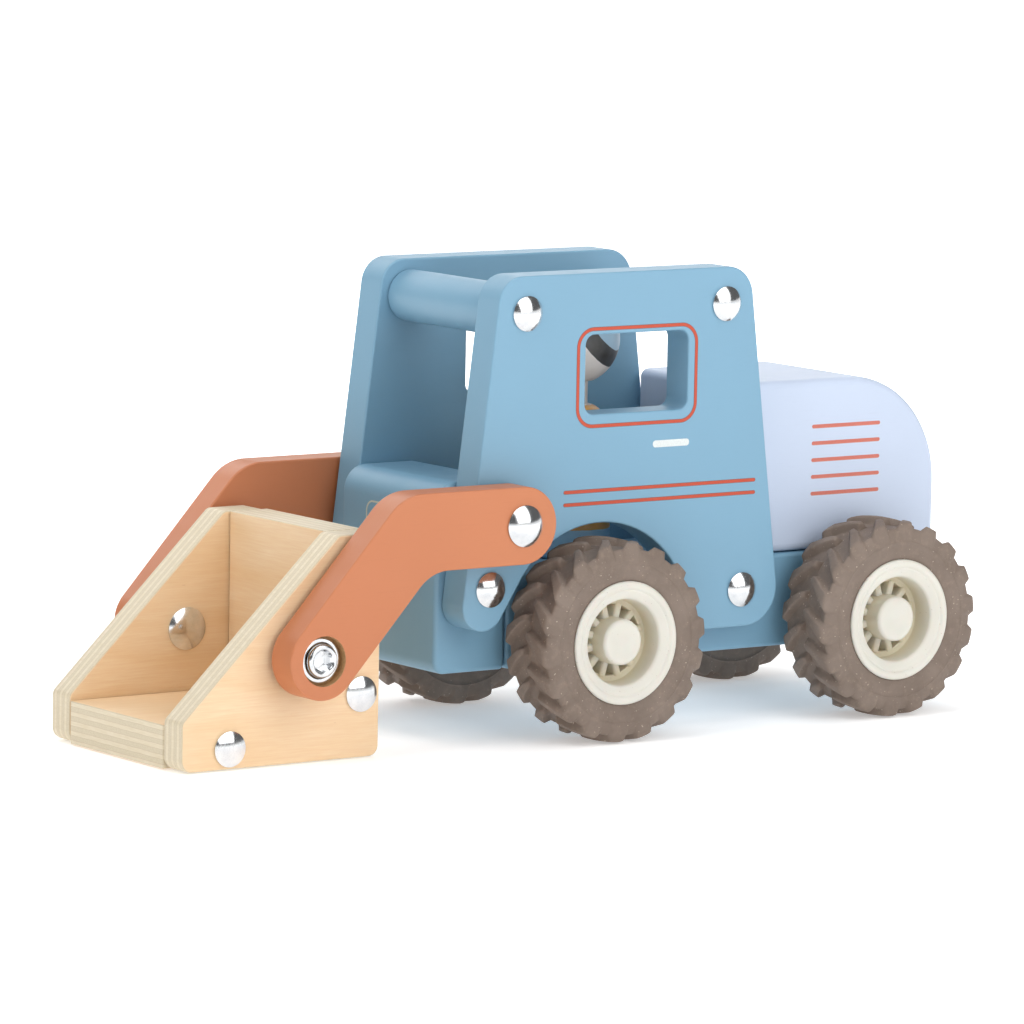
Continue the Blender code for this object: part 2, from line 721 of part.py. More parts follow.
def pockets():
    """The moulded pockets between the wheel's spokes."""
    top, bottom = mm(3.0), mm(-1.5)
    inner, outer = HUB_CAP_RADIUS + mm(0.4), DISH_RADIUS - mm(1.6)
    solid = bmesh.new()
    for index in range(POCKETS):
        turn = Matrix.Rotation(2 * pi * index / POCKETS, 4, "Z")
        spread = pi / POCKETS
        corners = []
        for radius in (inner, outer):
            half = radius * spread - mm(0.9)
            corners += [(radius, -half), (radius, half)]
        low = [solid.verts.new(turn @ Vector((x, y, bottom))) for x, y in corners]
        high = [solid.verts.new(turn @ Vector((x, y, top))) for x, y in corners]
        around = (0, 1, 3, 2)
        for i in range(4):
            a, b = around[i - 1], around[i]
            solid.faces.new((low[a], low[b], high[b], high[a]))
        solid.faces.new([low[i] for i in around])
        solid.faces.new([high[i] for i in around])
    bmesh.ops.recalc_face_normals(solid, faces=solid.faces)
    mesh = bpy.data.meshes.new("pockets")
    solid.to_mesh(mesh)
    solid.free()
    return mesh


def rim_mesh():
    """The moulded wheel: a stepped lip, a deep dish with spokes, and a closed hub cap over the axle's end."""
    half = WHEEL_WIDTH / 2
    boss = WHEEL_CENTRE_Y - BODY_HALF_WIDTH - mm(0.8) - 2 * GAP
    profile = [
        (0, mm(8.8)),
        (HUB_CAP_RADIUS - mm(0.6), mm(8.8)),
        (HUB_CAP_RADIUS, mm(8.2)),
        (HUB_CAP_RADIUS, mm(2.0)),
        (DISH_RADIUS, mm(2.0)),
        (DISH_RADIUS + mm(0.3), half - mm(1.2)),
        (DISH_RADIUS + mm(1.2), half - mm(0.3)),
        (mm(17.0), half),
        (mm(18.0), half - mm(0.4)),
        (TYRE_BORE - GAP, half - mm(1.6)),
        (TYRE_BORE - GAP, mm(1.6) - half),
        (mm(18.0), mm(0.4) - half),
        (mm(17.0), -half),
        (mm(14.0), mm(0.5) - half),
        (mm(13.6), mm(-3.0)),
        (mm(5.2), mm(-3.0)),
        (mm(5.2), -boss),
        (AXLE_BORE, -boss),
        (AXLE_BORE, mm(6.6)),
        (0, mm(6.6)),
    ]
    rim = add_object("rim", turned(profile, steps=20), "cream_plastic")
    combine(rim, pockets(), "DIFFERENCE")
    return frozen(rim)


def add_wheels(hinges):
    """Four wheels with tyres, each pair on its own steel axle through the chassis."""
    tyre = tyre_mesh()
    rim = rim_mesh()
    tip = WHEEL_CENTRE_Y + mm(6.2)
    axle = turned([(0, tip), (AXLE_RADIUS, tip), (AXLE_RADIUS, -tip), (0, -tip)], steps=12)
    washer = ring(AXLE_BORE, mm(5.5), mm(0.8), steps=12)
    for end, place in (("front", FRONT_AXLE), ("rear", REAR_AXLE)):
        hinge = hinges[end]
        add_object(f"axle_{end}", axle, "polished_steel", (place[0], 0, place[1]), LEFT, hinge)
        place_pair(f"wheel_{end}", rim, "cream_plastic", place, WHEEL_CENTRE_Y, hinge)
        for side, sign in (("left", 1), ("right", -1)):
            where = (place[0], sign * WHEEL_CENTRE_Y, place[1])
            add_object(f"tyre_{end}_{side}", tyre, "taupe_rubber", where, LEFT, hinge)
        place_pair(f"axle_washer_{end}", washer, "polished_steel", place, BODY_HALF_WIDTH + GAP)


def add_driver():
    """A turned peg doll on the chassis: a body with a neck, and a ball for its head."""
    base = CHASSIS_TOP + GAP
    shoulders = DRIVER_SHOULDER - base
    lathe = [(0, DRIVER_NECK_TOP - base), (DRIVER_NECK_RADIUS, DRIVER_NECK_TOP - base)]
    lathe += [(DRIVER_NECK_RADIUS, shoulders)]
    slope = mm(12.0)
    for i in range(1, 7):
        angle = pi / 2 * i / 6
        wide = DRIVER_NECK_RADIUS + (DRIVER_RADIUS - DRIVER_NECK_RADIUS) * sin(angle)
        lathe.append((wide, shoulders - slope * (1 - cos(angle))))
    lathe += [(DRIVER_RADIUS, mm(0.8)), (DRIVER_RADIUS - mm(0.8), 0), (0, 0)]
    body = turned(lathe, steps=18)
    add_object("driver_body", body, "orange_lacquer", (DRIVER_X, 0, base))

    seat = DRIVER_NECK_TOP + GAP - HEAD_CENTRE_Z
    last = acos(seat / DRIVER_HEAD_RADIUS)
    ball = [
        (DRIVER_HEAD_RADIUS * sin(last * i / 9), DRIVER_HEAD_RADIUS * cos(last * i / 9))
        for i in range(10)
    ]
    head = turned([*ball, (0, seat)], steps=20)
    add_object("driver_head", head, "skin_lacquer", (DRIVER_X, 0, HEAD_CENTRE_Z))


clear_scene()
parts = new_collection("toy_front_loader")
cutters = new_collection("cutters")
loader_lift = hinge_at("loader_lift_axis", ARM_PIVOT)
bucket_tilt = hinge_at("bucket_tilt_axis", BUCKET_PIVOT, loader_lift)
axles = {
    "front": hinge_at("front_axle_axis", FRONT_AXLE),
    "rear": hinge_at("rear_axle_axis", REAR_AXLE),
}
add_body()
add_cab()
add_loader(loader_lift)
add_bucket(bucket_tilt)
add_bucket_pivots(loader_lift, bucket_tilt)
add_wheels(axles)
add_driver()
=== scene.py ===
import json
from math import acos, atan2, cos, pi, radians, sin, tan

import bmesh
import bpy
import numpy as np
from mathutils import Matrix, Vector
from mathutils.geometry import tessellate_polygon


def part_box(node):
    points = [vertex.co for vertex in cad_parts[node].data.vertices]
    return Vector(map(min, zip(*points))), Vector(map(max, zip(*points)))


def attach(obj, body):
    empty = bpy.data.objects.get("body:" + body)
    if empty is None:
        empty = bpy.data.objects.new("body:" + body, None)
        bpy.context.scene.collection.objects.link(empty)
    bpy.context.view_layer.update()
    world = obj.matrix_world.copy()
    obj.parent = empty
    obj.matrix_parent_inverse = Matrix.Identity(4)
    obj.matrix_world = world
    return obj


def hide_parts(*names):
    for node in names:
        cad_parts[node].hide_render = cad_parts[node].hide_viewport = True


# Looks of a wooden toy front loader: lacquered boards, birch plywood bucket, lugged rubber tyres on
# moulded wheels, plated fittings and a turned peg-doll driver.
# Metres, +X ahead towards the bucket, +Y to the driver's left, +Z up.

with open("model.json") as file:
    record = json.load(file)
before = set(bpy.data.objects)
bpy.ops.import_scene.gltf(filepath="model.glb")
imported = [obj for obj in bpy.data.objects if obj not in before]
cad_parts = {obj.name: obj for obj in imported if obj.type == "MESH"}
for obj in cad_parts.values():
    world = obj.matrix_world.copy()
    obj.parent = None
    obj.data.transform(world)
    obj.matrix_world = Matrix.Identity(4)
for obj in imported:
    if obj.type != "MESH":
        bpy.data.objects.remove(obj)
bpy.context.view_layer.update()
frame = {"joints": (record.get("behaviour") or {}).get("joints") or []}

MM = 0.001
JOINTS = {joint["name"]: Vector(joint["pos_m"]) for joint in frame["joints"]}
ARM_PIVOT = JOINTS["loader_lift"]
BUCKET_PIVOT = JOINTS["bucket_tilt"]
SIDES = (("left", 1), ("right", -1))


def span(node_name):
    """Lowest and highest corner of a CAD node, as arrays."""
    low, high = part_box(node_name)
    return np.array(low), np.array(high)


def centre_of(node_name):
    """The middle of a CAD node, as (x, z)."""
    low, high = span(node_name)
    return ((low[0] + high[0]) / 2, (low[2] + high[2]) / 2)


def flank_of(node_name, sign):
    """Where a piece on a flank starts and ends along Y, the nearer to the middle first."""
    low, high = span(node_name)
    return (low[1], high[1]) if sign > 0 else (high[1], low[1])


# ---------------------------------------------------------------- outlines


def arc(centre, radius, start, end, step=3.0):
    """Points of a circular arc from one angle to the other, in degrees: centre + radius (cos, sin)."""
    count = max(2, int(round(abs(end - start) / step)))
    angle = np.radians(np.linspace(start, end, count + 1))
    return np.stack([centre[0] + radius * np.cos(angle), centre[1] + radius * np.sin(angle)], 1)


def rounded(corners, step=6.0, closed=True):
    """An outline through (u, v, radius) corners. Each corner gives way to the arc that touches its sides.

    The arc's centre lies on the corner's bisector, radius / sin(half the corner's angle) away.
    """
    outline = []
    last = len(corners) - 1
    for index, (u, v, radius) in enumerate(corners):
        if not radius or (not closed and index in (0, last)):
            outline.append(np.array([[u, v]]))
            continue
        corner = Vector((u, v))
        back = (Vector(corners[index - 1][:2]) - corner).normalized()
        ahead = (Vector(corners[(index + 1) % len(corners)][:2]) - corner).normalized()
        half = acos(max(-1.0, min(1.0, back.dot(ahead)))) / 2
        centre = corner + (back + ahead).normalized() * (radius / sin(half))
        first = corner + back * (radius / tan(half)) - centre
        final = corner + ahead * (radius / tan(half)) - centre
        start = atan2(first.y, first.x)
        turn = (atan2(final.y, final.x) - start + pi) % (2 * pi) - pi
        outline.append(arc(centre, radius, np.degrees(start), np.degrees(start + turn), step))
    return np.concatenate(outline)


def rectangle(low_u, high_u, low_v, high_v, radius):
    """A rectangle with round corners, anticlockwise."""
    corners = ((low_u, low_v), (high_u, low_v), (high_u, high_v), (low_u, high_v))
    return rounded([(u, v, radius) for u, v in corners])


def circle(centre, radius, count=64):
    """A full circle, anticlockwise."""
    return arc(centre, radius, 0, 360, 360 / count)[:-1]


def shifted(outline, distance):
    """The closed outline moved outwards by a distance, along its mitred normals."""
    ahead = np.roll(outline, -1, 0) - outline
    ahead /= np.linalg.norm(ahead, axis=1, keepdims=True)
    normal = np.stack([ahead[:, 1], -ahead[:, 0]], 1)
    mitre = normal + np.roll(normal, 1, 0)
    mitre /= np.maximum((mitre * normal).sum(1, keepdims=True), 0.3)
    return outline + mitre * distance


# ---------------------------------------------------------------- meshes


def grid_faces(rows, columns, closed_rows=False):
    """Quads of a grid whose columns close on themselves. Rows close only when asked."""
    row = np.arange(rows if closed_rows else rows - 1)[:, None]
    column = np.arange(columns)[None, :]
    below, beside = (row + 1) % rows, (column + 1) % columns
    corners = (
        row * columns + column,
        row * columns + beside,
        below * columns + beside,
        below * columns + column,
    )
    return np.stack([np.broadcast_to(c, (len(row), columns)).ravel() for c in corners], 1)


def agreed(points, faces):
    """The faces turned so that each pair of neighbours agrees."""
    mesh = bpy.data.meshes.new("turning")
    mesh.from_pydata(points.tolist(), [], [tuple(int(i) for i in f) for f in faces])
    solid = bmesh.new()
    solid.from_mesh(mesh)
    bmesh.ops.recalc_face_normals(solid, faces=solid.faces)
    turned_faces = [tuple(corner.index for corner in face.verts) for face in solid.faces]
    solid.free()
    bpy.data.meshes.remove(mesh)
    return turned_faces


def new_mesh(name, points, faces, attributes=None):
    """A mesh whose faces are turned outwards: the signed volume of all its pyramids is positive."""
    triangles = np.array([(f[0], f[i], f[i + 1]) for f in faces for i in range(1, len(f) - 1)])
    a, b, c = (points[triangles[:, i]] for i in range(3))
    if np.einsum("ij,ij->i", a, np.cross(b, c)).sum() < 0:
        faces = [tuple(f)[::-1] for f in faces]
    mesh = bpy.data.meshes.new(name)
    mesh.from_pydata(points.tolist(), [], [tuple(int(i) for i in f) for f in faces])
    for key, values in (attributes or {}).items():
        vector = values.ndim == 2
        layer = mesh.attributes.new(key, "FLOAT_VECTOR" if vector else "FLOAT", "POINT")
        layer.data.foreach_set("vector" if vector else "value", values.ravel().astype(np.float32))
    mesh.update()
    return mesh


def show(name, mesh, coat, body, *nodes, crease=32, level=False):
    """The mesh as a finished piece that rides on a body and stands for the given CAD nodes.

    A coat is a material and a slot's name; the slot's name is not used.
    """
    finish, slot = coat
    mesh.materials.append(finish)
    mesh.shade_smooth()
    mesh.set_sharp_from_angle(angle=radians(crease))
    piece = bpy.data.objects.new(name, mesh)
    bpy.context.scene.collection.objects.link(piece)
    if level:
        weigh = piece.modifiers.new("flat faces stay flat", "WEIGHTED_NORMAL")
        weigh.keep_sharp = True
        weigh.weight = 100
    if nodes:
        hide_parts(*nodes)
    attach(piece, body)
    return piece


AXES = {"X": (1, 2, 0), "Y": (0, 2, 1), "Z": (0, 1, 2)}


def placed(points, axis, centre=(0, 0, 0), sign=1):
    """Local (u, v, w) points with w laid along an axis of the toy, and u and v along the other two."""
    world = np.empty_like(points)
    for local, column in enumerate(AXES[axis]):
        world[:, column] = points[:, local] * (sign if local == 2 else 1)
    return world + np.array(centre)


def wall_rows(outline, low, high, soft, outwards=True, steps=4):
    """Rows of a board's wall: a quarter round, the flat wall, and a quarter round again.

    At angle t of the round, the outline moves in by soft (1 - sin t) and down by soft (1 - cos t).
    The second array is 0 where the wall meets the board's faces, and 1 on the flat wall.
    """
    t = np.linspace(0, pi / 2, steps + 1)
    inset, drop = soft * (1 - np.sin(t)), soft * (1 - np.cos(t))
    rows, cut = [], []
    for move, w, wall in zip(
        np.concatenate([inset, inset[::-1]]),
        np.concatenate([high - drop, low + drop[::-1]]),
        np.concatenate([np.sin(t), np.sin(t[::-1])]),
    ):
        loop = shifted(outline, -move if outwards else move)
        rows.append(np.column_stack([loop, np.full(len(loop), w)]))
        cut.append(np.full(len(loop), wall))
    return np.array(rows), np.array(cut)


def board(outline, low, high, soft, holes=(), axis="Y"):
    """Points, faces and attributes of a flat board with soft edges and holes.

    Its walls are stacks of rows, and its two faces are the polygons between the first rows and
    between the last rows. "edge" is 0 on the faces, 1 on the sawn walls and BARE in a bore, and
    "sheet" holds the board's own coordinates, with the thickness last.
    """
    points, edge, faces, tops, bottoms = [], [], [], [], []
    start = 0
    for rows, walls in (wall_rows(outline, low, high, soft), *holes):
        count, columns = rows.shape[:2]
        faces += (grid_faces(count, columns) + start).tolist()
        tops.append(range(start, start + columns))
        bottoms.append(range(start + (count - 1) * columns, start + count * columns))
        points.append(rows.reshape(-1, 3))
        edge.append(walls.ravel())
        start += count * columns
    points, edge = np.concatenate(points), np.concatenate(edge)
    for loops in (tops, bottoms):
        flat = [i for loop in loops for i in loop]
        for triangle in tessellate_polygon([[Vector(points[i]) for i in loop] for loop in loops]):
            a, b, c = (flat[i] for i in triangle)
            if abs(np.cross(points[b][:2] - points[a][:2], points[c][:2] - points[a][:2])) > 1e-16:
                faces.append((a, b, c))
    sheet = points.copy()
    sheet[:, 2] -= (low + high) / 2
    points = placed(points, axis)
    return points, agreed(points, faces), {"edge": edge, "sheet": sheet}


def show_board(name, outline, low, high, soft, coat, body, *nodes, holes=(), axis="Y"):
    """A board as a finished piece."""
    mesh = new_mesh(name, *board(outline, low, high, soft, holes, axis))
    return show(name, mesh, coat, body, *nodes, level=True)


def lathe(profile, steps=72, shape=None):
    """Points and faces of a profile of (radius, height) points turned about its height.

    Point k of row i is (r_i cos a_k, r_i sin a_k, h_i). A row of radius 0 is one point with a fan,
    and a profile without one is a closed ring. shape changes the radius by its angle.
    """
    profile = np.array(profile, float)
    angle = np.linspace(0, 2 * pi, steps, endpoint=False)
    poles = [i for i in (0, len(profile) - 1) if profile[i, 0] == 0]
    rows = np.array([p for i, p in enumerate(profile) if i not in poles])
    radius = rows[:, :1] * np.ones_like(angle)
    if shape:
        radius = shape(radius, angle)
    height = rows[:, 1:] + 0 * radius
    points = np.stack([radius * np.cos(angle), radius * np.sin(angle), height], 2).reshape(-1, 3)
    faces = grid_faces(len(rows), steps, closed_rows=not poles).tolist()
    around = np.arange(steps)
    for pole in poles:
        tip = len(points)
        points = np.vstack([points, [0, 0, profile[pole, 1]]])
        near = around if pole == 0 else around + (len(rows) - 1) * steps
        ends = np.stack([np.full(steps, tip), np.roll(near, -1), near], 1)
        faces += (ends if pole == 0 else ends[:, ::-1]).tolist()
    return points, faces


def show_turned(name, profile, centre, sign, coat, body, *nodes, steps=72, axis="Y", shape=None, shade=None):
    """A turned piece on an axis of the toy. shade gives its attributes from its points and centre."""
    points, faces = lathe(profile, steps, shape)
    points = placed(points, axis, centre, sign)
    mesh = new_mesh(name, points, faces, shade(points, centre) if shade else None)
    return show(name, mesh, coat, body, *nodes)


# ---------------------------------------------------------------- finishes


def linear(colour):
    """An sRGB hex colour as linear RGBA."""
    channels = [int(colour[i : i + 2], 16) / 255 for i in (0, 2, 4)]
    return (*[c / 12.92 if c <= 0.04045 else ((c + 0.055) / 1.055) ** 2.4 for c in channels], 1.0)


def shaded(colour, factor):
    """The sRGB hex colour made lighter or darker by a factor, as linear RGBA."""
    r, g, b, _ = linear(colour)
    return (min(r * factor, 1.0), min(g * factor, 1.0), min(b * factor, 1.0), 1.0)


def per_mm(size):
    """The scale of a pattern whose features are this many millimetres wide."""
    return 1 / (size * MM)


def add(tree, kind, inputs=(), output=0, **settings):
    """A node with its settings, and its values and links by place or by name. Gives one output."""
    made = tree.nodes.new("ShaderNode" + kind)
    for key, value in settings.items():
        setattr(made, key, value)
    for key, value in inputs.items() if isinstance(inputs, dict) else enumerate(inputs):
        if isinstance(value, bpy.types.NodeSocket):
            tree.links.new(value, made.inputs[key])
        else:
            made.inputs[key].default_value = value
    return made.outputs[output]


# A Mix node set to colours has its factor and colours at inputs 0, 6 and 7, and its result at output 2.
COLOURS = {"output": 2, "data_type": "RGBA"}
LACQUER_IOR = 1.48


def new_finish(name, **values):
    """A material with a Principled shader, and its object coordinates."""
    material = bpy.data.materials.new(name)
    material.use_nodes = True
    tree = material.node_tree
    shader = tree.nodes["Principled BSDF"]
    for key, value in values.items():
        shader.inputs[key.replace("_", " ")].default_value = value
    return material, tree, shader, add(tree, "TexCoord", output="Object")


def wire(tree, shader, colour, roughness, height=None, depth=0.0, under=None):
    """Links colour and roughness to the shader, and a bump of so many millimetres over another one."""
    tree.links.new(colour, shader.inputs["Base Color"])
    tree.links.new(roughness, shader.inputs["Roughness"])
    if height:
        inputs = {"Height": height, "Distance": depth * MM}
        if under:
            inputs["Normal"] = under
        tree.links.new(add(tree, "Bump", inputs), shader.inputs["Normal"])


def sprayed_lacquer(name, colour):
    """Coloured satin lacquer, sprayed on sanded beech boards.

    The eye sees one even colour with a soft sheen, a faint orange peel, and the wood's pores as
    short, slightly darker dashes. A bore is cut after spraying, so its wall is bare tan beech.
    """
    material, tree, shader, place = new_finish(name, IOR=LACQUER_IOR)
    cloud = add(tree, "TexNoise", {"Vector": place, "Scale": per_mm(45)})
    cloud = add(tree, "MapRange", (cloud, 0.3, 0.7, 0, 1))
    tint = add(tree, "Mix", {0: cloud, 6: shaded(colour, 0.975), 7: shaded(colour, 1.02)}, **COLOURS)
    # Pores are 0.5 mm wide and 6 mm long, twice the real width, so that they show.
    along = add(tree, "Mapping", {"Vector": place, "Scale": (1 / 12, 1, 1)})
    pores = add(tree, "TexNoise", {"Vector": along, "Scale": per_mm(0.5), "Roughness": 0.6})
    sunk = add(tree, "MapRange", (pores, 0.28, 0.42, 0.10, 0))
    tint = add(tree, "Mix", {0: sunk, 6: tint, 7: shaded(colour, 0.8)}, **COLOURS)
    edge = add(tree, "Attribute", output="Fac", attribute_name="edge")
    bored = add(tree, "MapRange", (edge, 1.3, 1.5, 0, 1))
    fibre = add(tree, "MapRange", (pores, 0.3, 0.6, 0, 1))
    bare = add(tree, "Mix", {0: fibre, 6: linear("A87F55"), 7: linear("C79C6C")}, **COLOURS)
    tint = add(tree, "Mix", {0: bored, 6: tint, 7: bare}, **COLOURS)
    haze = add(tree, "TexNoise", {"Vector": place, "Scale": per_mm(6), "Detail": 3})
    satin = add(tree, "MapRange", (haze, 0.3, 0.7, 0.38, 0.47))
    peel = add(tree, "TexNoise", {"Vector": place, "Scale": per_mm(0.8), "Detail": 1})
    grain = add(tree, "Bump", {"Height": pores, "Distance": 0.015 * MM})
    wire(tree, shader, tint, satin, peel, 0.012, grain)
    return material


PLY = 1.35  # millimetres


def birch_plywood(name):
    """Birch plywood, sanded and sealed with clear satin lacquer.

    The eye sees pale warm veneer with a soft figure, fine fibres and a few dark flecks on the faces,
    and thin plies on the cut edges, by turns streaked along the grain and dotted across it.
    """
    material, tree, shader, place = new_finish(name, IOR=LACQUER_IOR)
    sheet = add(tree, "Attribute", output="Vector", attribute_name="sheet")
    edge = add(tree, "Attribute", output="Fac", attribute_name="edge")

    # Growth figure 7 mm wide and 42 mm long, bent by a slow warp.
    slow = add(tree, "Mapping", {"Vector": sheet, "Scale": (1 / 3, 1, 1)})
    warp = add(tree, "TexNoise", {"Vector": slow, "Scale": per_mm(30), "Detail": 3, "Roughness": 0.6})
    warp = add(tree, "CombineXYZ", (warp, warp))
    bent = add(tree, "VectorMath", (warp, (0.004, 0.012, 0), sheet), operation="MULTIPLY_ADD")
    bent = add(tree, "Mapping", {"Vector": bent, "Scale": (1 / 6, 1, 1)})
    figure = add(tree, "TexNoise", {"Vector": bent, "Scale": per_mm(7), "Detail": 3, "Roughness": 0.55})
    figure = add(tree, "MapRange", (figure, 0.3, 0.7, 0, 1))
    veneer = add(tree, "Mix", {0: figure, 6: linear("E9CAA0"), 7: linear("F0D8B5")}, **COLOURS)
    # Fibres 0.45 mm wide and 10 mm long.
    along = add(tree, "Mapping", {"Vector": sheet, "Scale": (1 / 22, 1, 1)})
    fibres = {"Vector": along, "Scale": per_mm(0.45), "Detail": 3, "Roughness": 0.65}
    fibres = add(tree, "TexNoise", fibres)
    dark = add(tree, "MapRange", (fibres, 0.35, 0.7, 0.35, 0))
    veneer = add(tree, "Mix", {0: dark, 6: veneer, 7: linear("DDB184")}, **COLOURS)
    # Flecks 0.9 mm wide and 4 mm long, few and far between.
    short = add(tree, "Mapping", {"Vector": sheet, "Scale": (1 / 4, 1, 1)})
    flecks = add(tree, "TexNoise", {"Vector": short, "Scale": per_mm(0.9), "Detail": 1})
    flecks = add(tree, "MapRange", (flecks, 0.79, 0.84, 0, 0.5))
    veneer = add(tree, "Mix", {0: flecks, 6: veneer, 7: linear("A9784C")}, **COLOURS)

    # The plies' height runs 0, 1, 0, 1 through the board, and wanders a little.
    depth = add(tree, "SeparateXYZ", (sheet,), "Z")
    ply = add(tree, "Math", (depth, PLY * MM), operation="DIVIDE")
    wander = add(tree, "TexNoise", {"Vector": place, "Scale": per_mm(5)})
    wander = add(tree, "Math", (wander, 0.22), operation="MULTIPLY")
    ply = add(tree, "Math", (ply, wander), operation="ADD")
    ply = add(tree, "Math", (ply, 1.0), operation="PINGPONG")
    long = add(tree, "Mapping", {"Vector": place, "Scale": (1 / 8, 1 / 8, 1)})
    streak = add(tree, "TexNoise", {"Vector": long, "Scale": per_mm(0.6), "Roughness": 0.6})
    streak = add(tree, "MapRange", (streak, 0.3, 0.7, 0, 1))
    pale = add(tree, "Mix", {0: streak, 6: linear("DDCFB2"), 7: linear("E6DAC2")}, **COLOURS)
    dots = add(tree, "TexNoise", {"Vector": place, "Scale": per_mm(0.35), "Roughness": 0.6})
    dots = add(tree, "MapRange", (dots, 0.3, 0.7, 0, 1))
    grey = add(tree, "Mix", {0: dots, 6: linear("D0C2A5"), 7: linear("DDD0B6")}, **COLOURS)
    across = add(tree, "MapRange", (ply, 0.40, 0.60, 0, 1))
    plies = add(tree, "Mix", {0: across, 6: pale, 7: grey}, **COLOURS)
    glue = add(tree, "Math", (ply, 0.5), operation="SUBTRACT")
    glue = add(tree, "Math", (glue,), operation="ABSOLUTE")
    glue = add(tree, "MapRange", (glue, 0.03, 0.09, 0.30, 0))
    plies = add(tree, "Mix", {0: glue, 6: plies, 7: linear("A98C62")}, **COLOURS)

    cut = add(tree, "MapRange", (edge, 0.25, 0.6, 0, 1))
    tint = add(tree, "Mix", {0: cut, 6: veneer, 7: plies}, **COLOURS)
    satin = add(tree, "MapRange", (fibres, 0.3, 0.7, 0.44, 0.54))
    wire(tree, shader, tint, satin, fibres, 0.03)
    return material


def nickel_plate(name):
    """Nickel on pressed and turned steel, barrel-plated and then handled.

    The eye sees a bright, slightly warm mirror whose reflections are softened by fine scuffs.
    """
    material, tree, shader, place = new_finish(name, Metallic=1.0)
    haze = add(tree, "TexNoise", {"Vector": place, "Scale": per_mm(3), "Detail": 4, "Roughness": 0.6})
    haze = add(tree, "MapRange", (haze, 0.3, 0.7, 0, 1))
    tint = add(tree, "Mix", {0: haze, 6: linear("D3D6D9"), 7: linear("E6E7E8")}, **COLOURS)
    along = add(tree, "Mapping", {"Vector": place, "Scale": (1, 1, 1 / 6)})
    scuffs = {"Vector": along, "Scale": per_mm(0.5), "Detail": 3, "Roughness": 0.7}
    scuffs = add(tree, "TexNoise", scuffs)
    satin = add(tree, "MapRange", (scuffs, 0.35, 0.75, 0.10, 0.24))
    wire(tree, shader, tint, satin, scuffs, 0.004)
    return material


def moulded_plastic(name):
    """Polypropylene, injection moulded in a fine spark-eroded tool.

    The eye sees a waxy cream skin with a soft sheen and a few dark specks of regrind. Inside the dish
    the cream is painted darker and yellower, as painted shade of the recess; its dish mask is 1 there.
    """
    material, tree, shader, place = new_finish(
        name, IOR=1.49, Subsurface_Weight=0.12, Subsurface_Scale=1.2 * MM
    )
    cloud = add(tree, "TexNoise", {"Vector": place, "Scale": per_mm(14)})
    cloud = add(tree, "MapRange", (cloud, 0.3, 0.7, 0, 1))
    tint = add(tree, "Mix", {0: cloud, 6: linear("D3D0C6"), 7: linear("DAD7CD")}, **COLOURS)
    # Painted shade: inside the dish the cream is mixed towards a darker, yellower colour.
    inside = add(tree, "Attribute", output="Fac", attribute_name="painted_dish_shade")
    inside = add(tree, "Math", (inside, 0.55), operation="MULTIPLY")
    tint = add(tree, "Mix", {0: inside, 6: tint, 7: linear("D2C39B")}, **COLOURS)
    specks = add(tree, "TexNoise", {"Vector": place, "Scale": per_mm(0.5), "Detail": 0})
    specks = add(tree, "MapRange", (specks, 0.80, 0.86, 0, 0.4))
    tint = add(tree, "Mix", {0: specks, 6: tint, 7: linear("8C7F6C")}, **COLOURS)
    grit = add(tree, "TexNoise", {"Vector": place, "Scale": per_mm(0.3), "Roughness": 0.6})
    satin = add(tree, "MapRange", (grit, 0.3, 0.7, 0.36, 0.46))
    wire(tree, shader, tint, satin, grit, 0.008)
    return material


def moulded_rubber(name):
    """Rubber, compression moulded and filled with pale brown pigment.

    The eye sees a matt taupe skin, clouded and a little dusty on its high spots, with specks of lint.
    """
    material, tree, shader, place = new_finish(name, IOR=1.5)
    cloud = add(tree, "TexNoise", {"Vector": place, "Scale": per_mm(9), "Detail": 4, "Roughness": 0.6})
    cloud = add(tree, "MapRange", (cloud, 0.3, 0.7, 0, 1))
    tint = add(tree, "Mix", {0: cloud, 6: linear("736459"), 7: linear("837469")}, **COLOURS)
    smear = {"Vector": place, "Scale": per_mm(2.2), "Detail": 5, "Roughness": 0.7}
    smear = add(tree, "TexNoise", smear)
    dust = add(tree, "MapRange", (smear, 0.52, 0.75, 0, 0.35))
    tint = add(tree, "Mix", {0: dust, 6: tint, 7: linear("A08F80")}, **COLOURS)
    lint = add(tree, "TexNoise", {"Vector": place, "Scale": per_mm(0.55), "Detail": 0})
    lint = add(tree, "MapRange", (lint, 0.80, 0.85, 0, 0.6))
    tint = add(tree, "Mix", {0: lint, 6: tint, 7: linear("CFC3B4")}, **COLOURS)
    matt = add(tree, "MapRange", (smear, 0.3, 0.7, 0.62, 0.78))
    skin = add(tree, "TexNoise", {"Vector": place, "Scale": per_mm(0.5), "Detail": 3, "Roughness": 0.6})
    wire(tree, shader, tint, matt, skin, 0.03)
    return material


def printed_ink(name, colour):
    """Ink laid on the lacquer with a silicone pad.

    The eye sees an even, matt line, very slightly mottled where the film is thinner.
    """
    material, tree, shader, place = new_finish(name, IOR=LACQUER_IOR)
    film = add(tree, "TexNoise", {"Vector": place, "Scale": per_mm(0.5)})
    mottle = add(tree, "MapRange", (film, 0.3, 0.7, 0, 1))
    tint = add(tree, "Mix", {0: mottle, 6: shaded(colour, 0.93), 7: shaded(colour, 1.05)}, **COLOURS)
    wire(tree, shader, tint, add(tree, "MapRange", (film, 0.3, 0.7, 0.5, 0.6)))
    return material


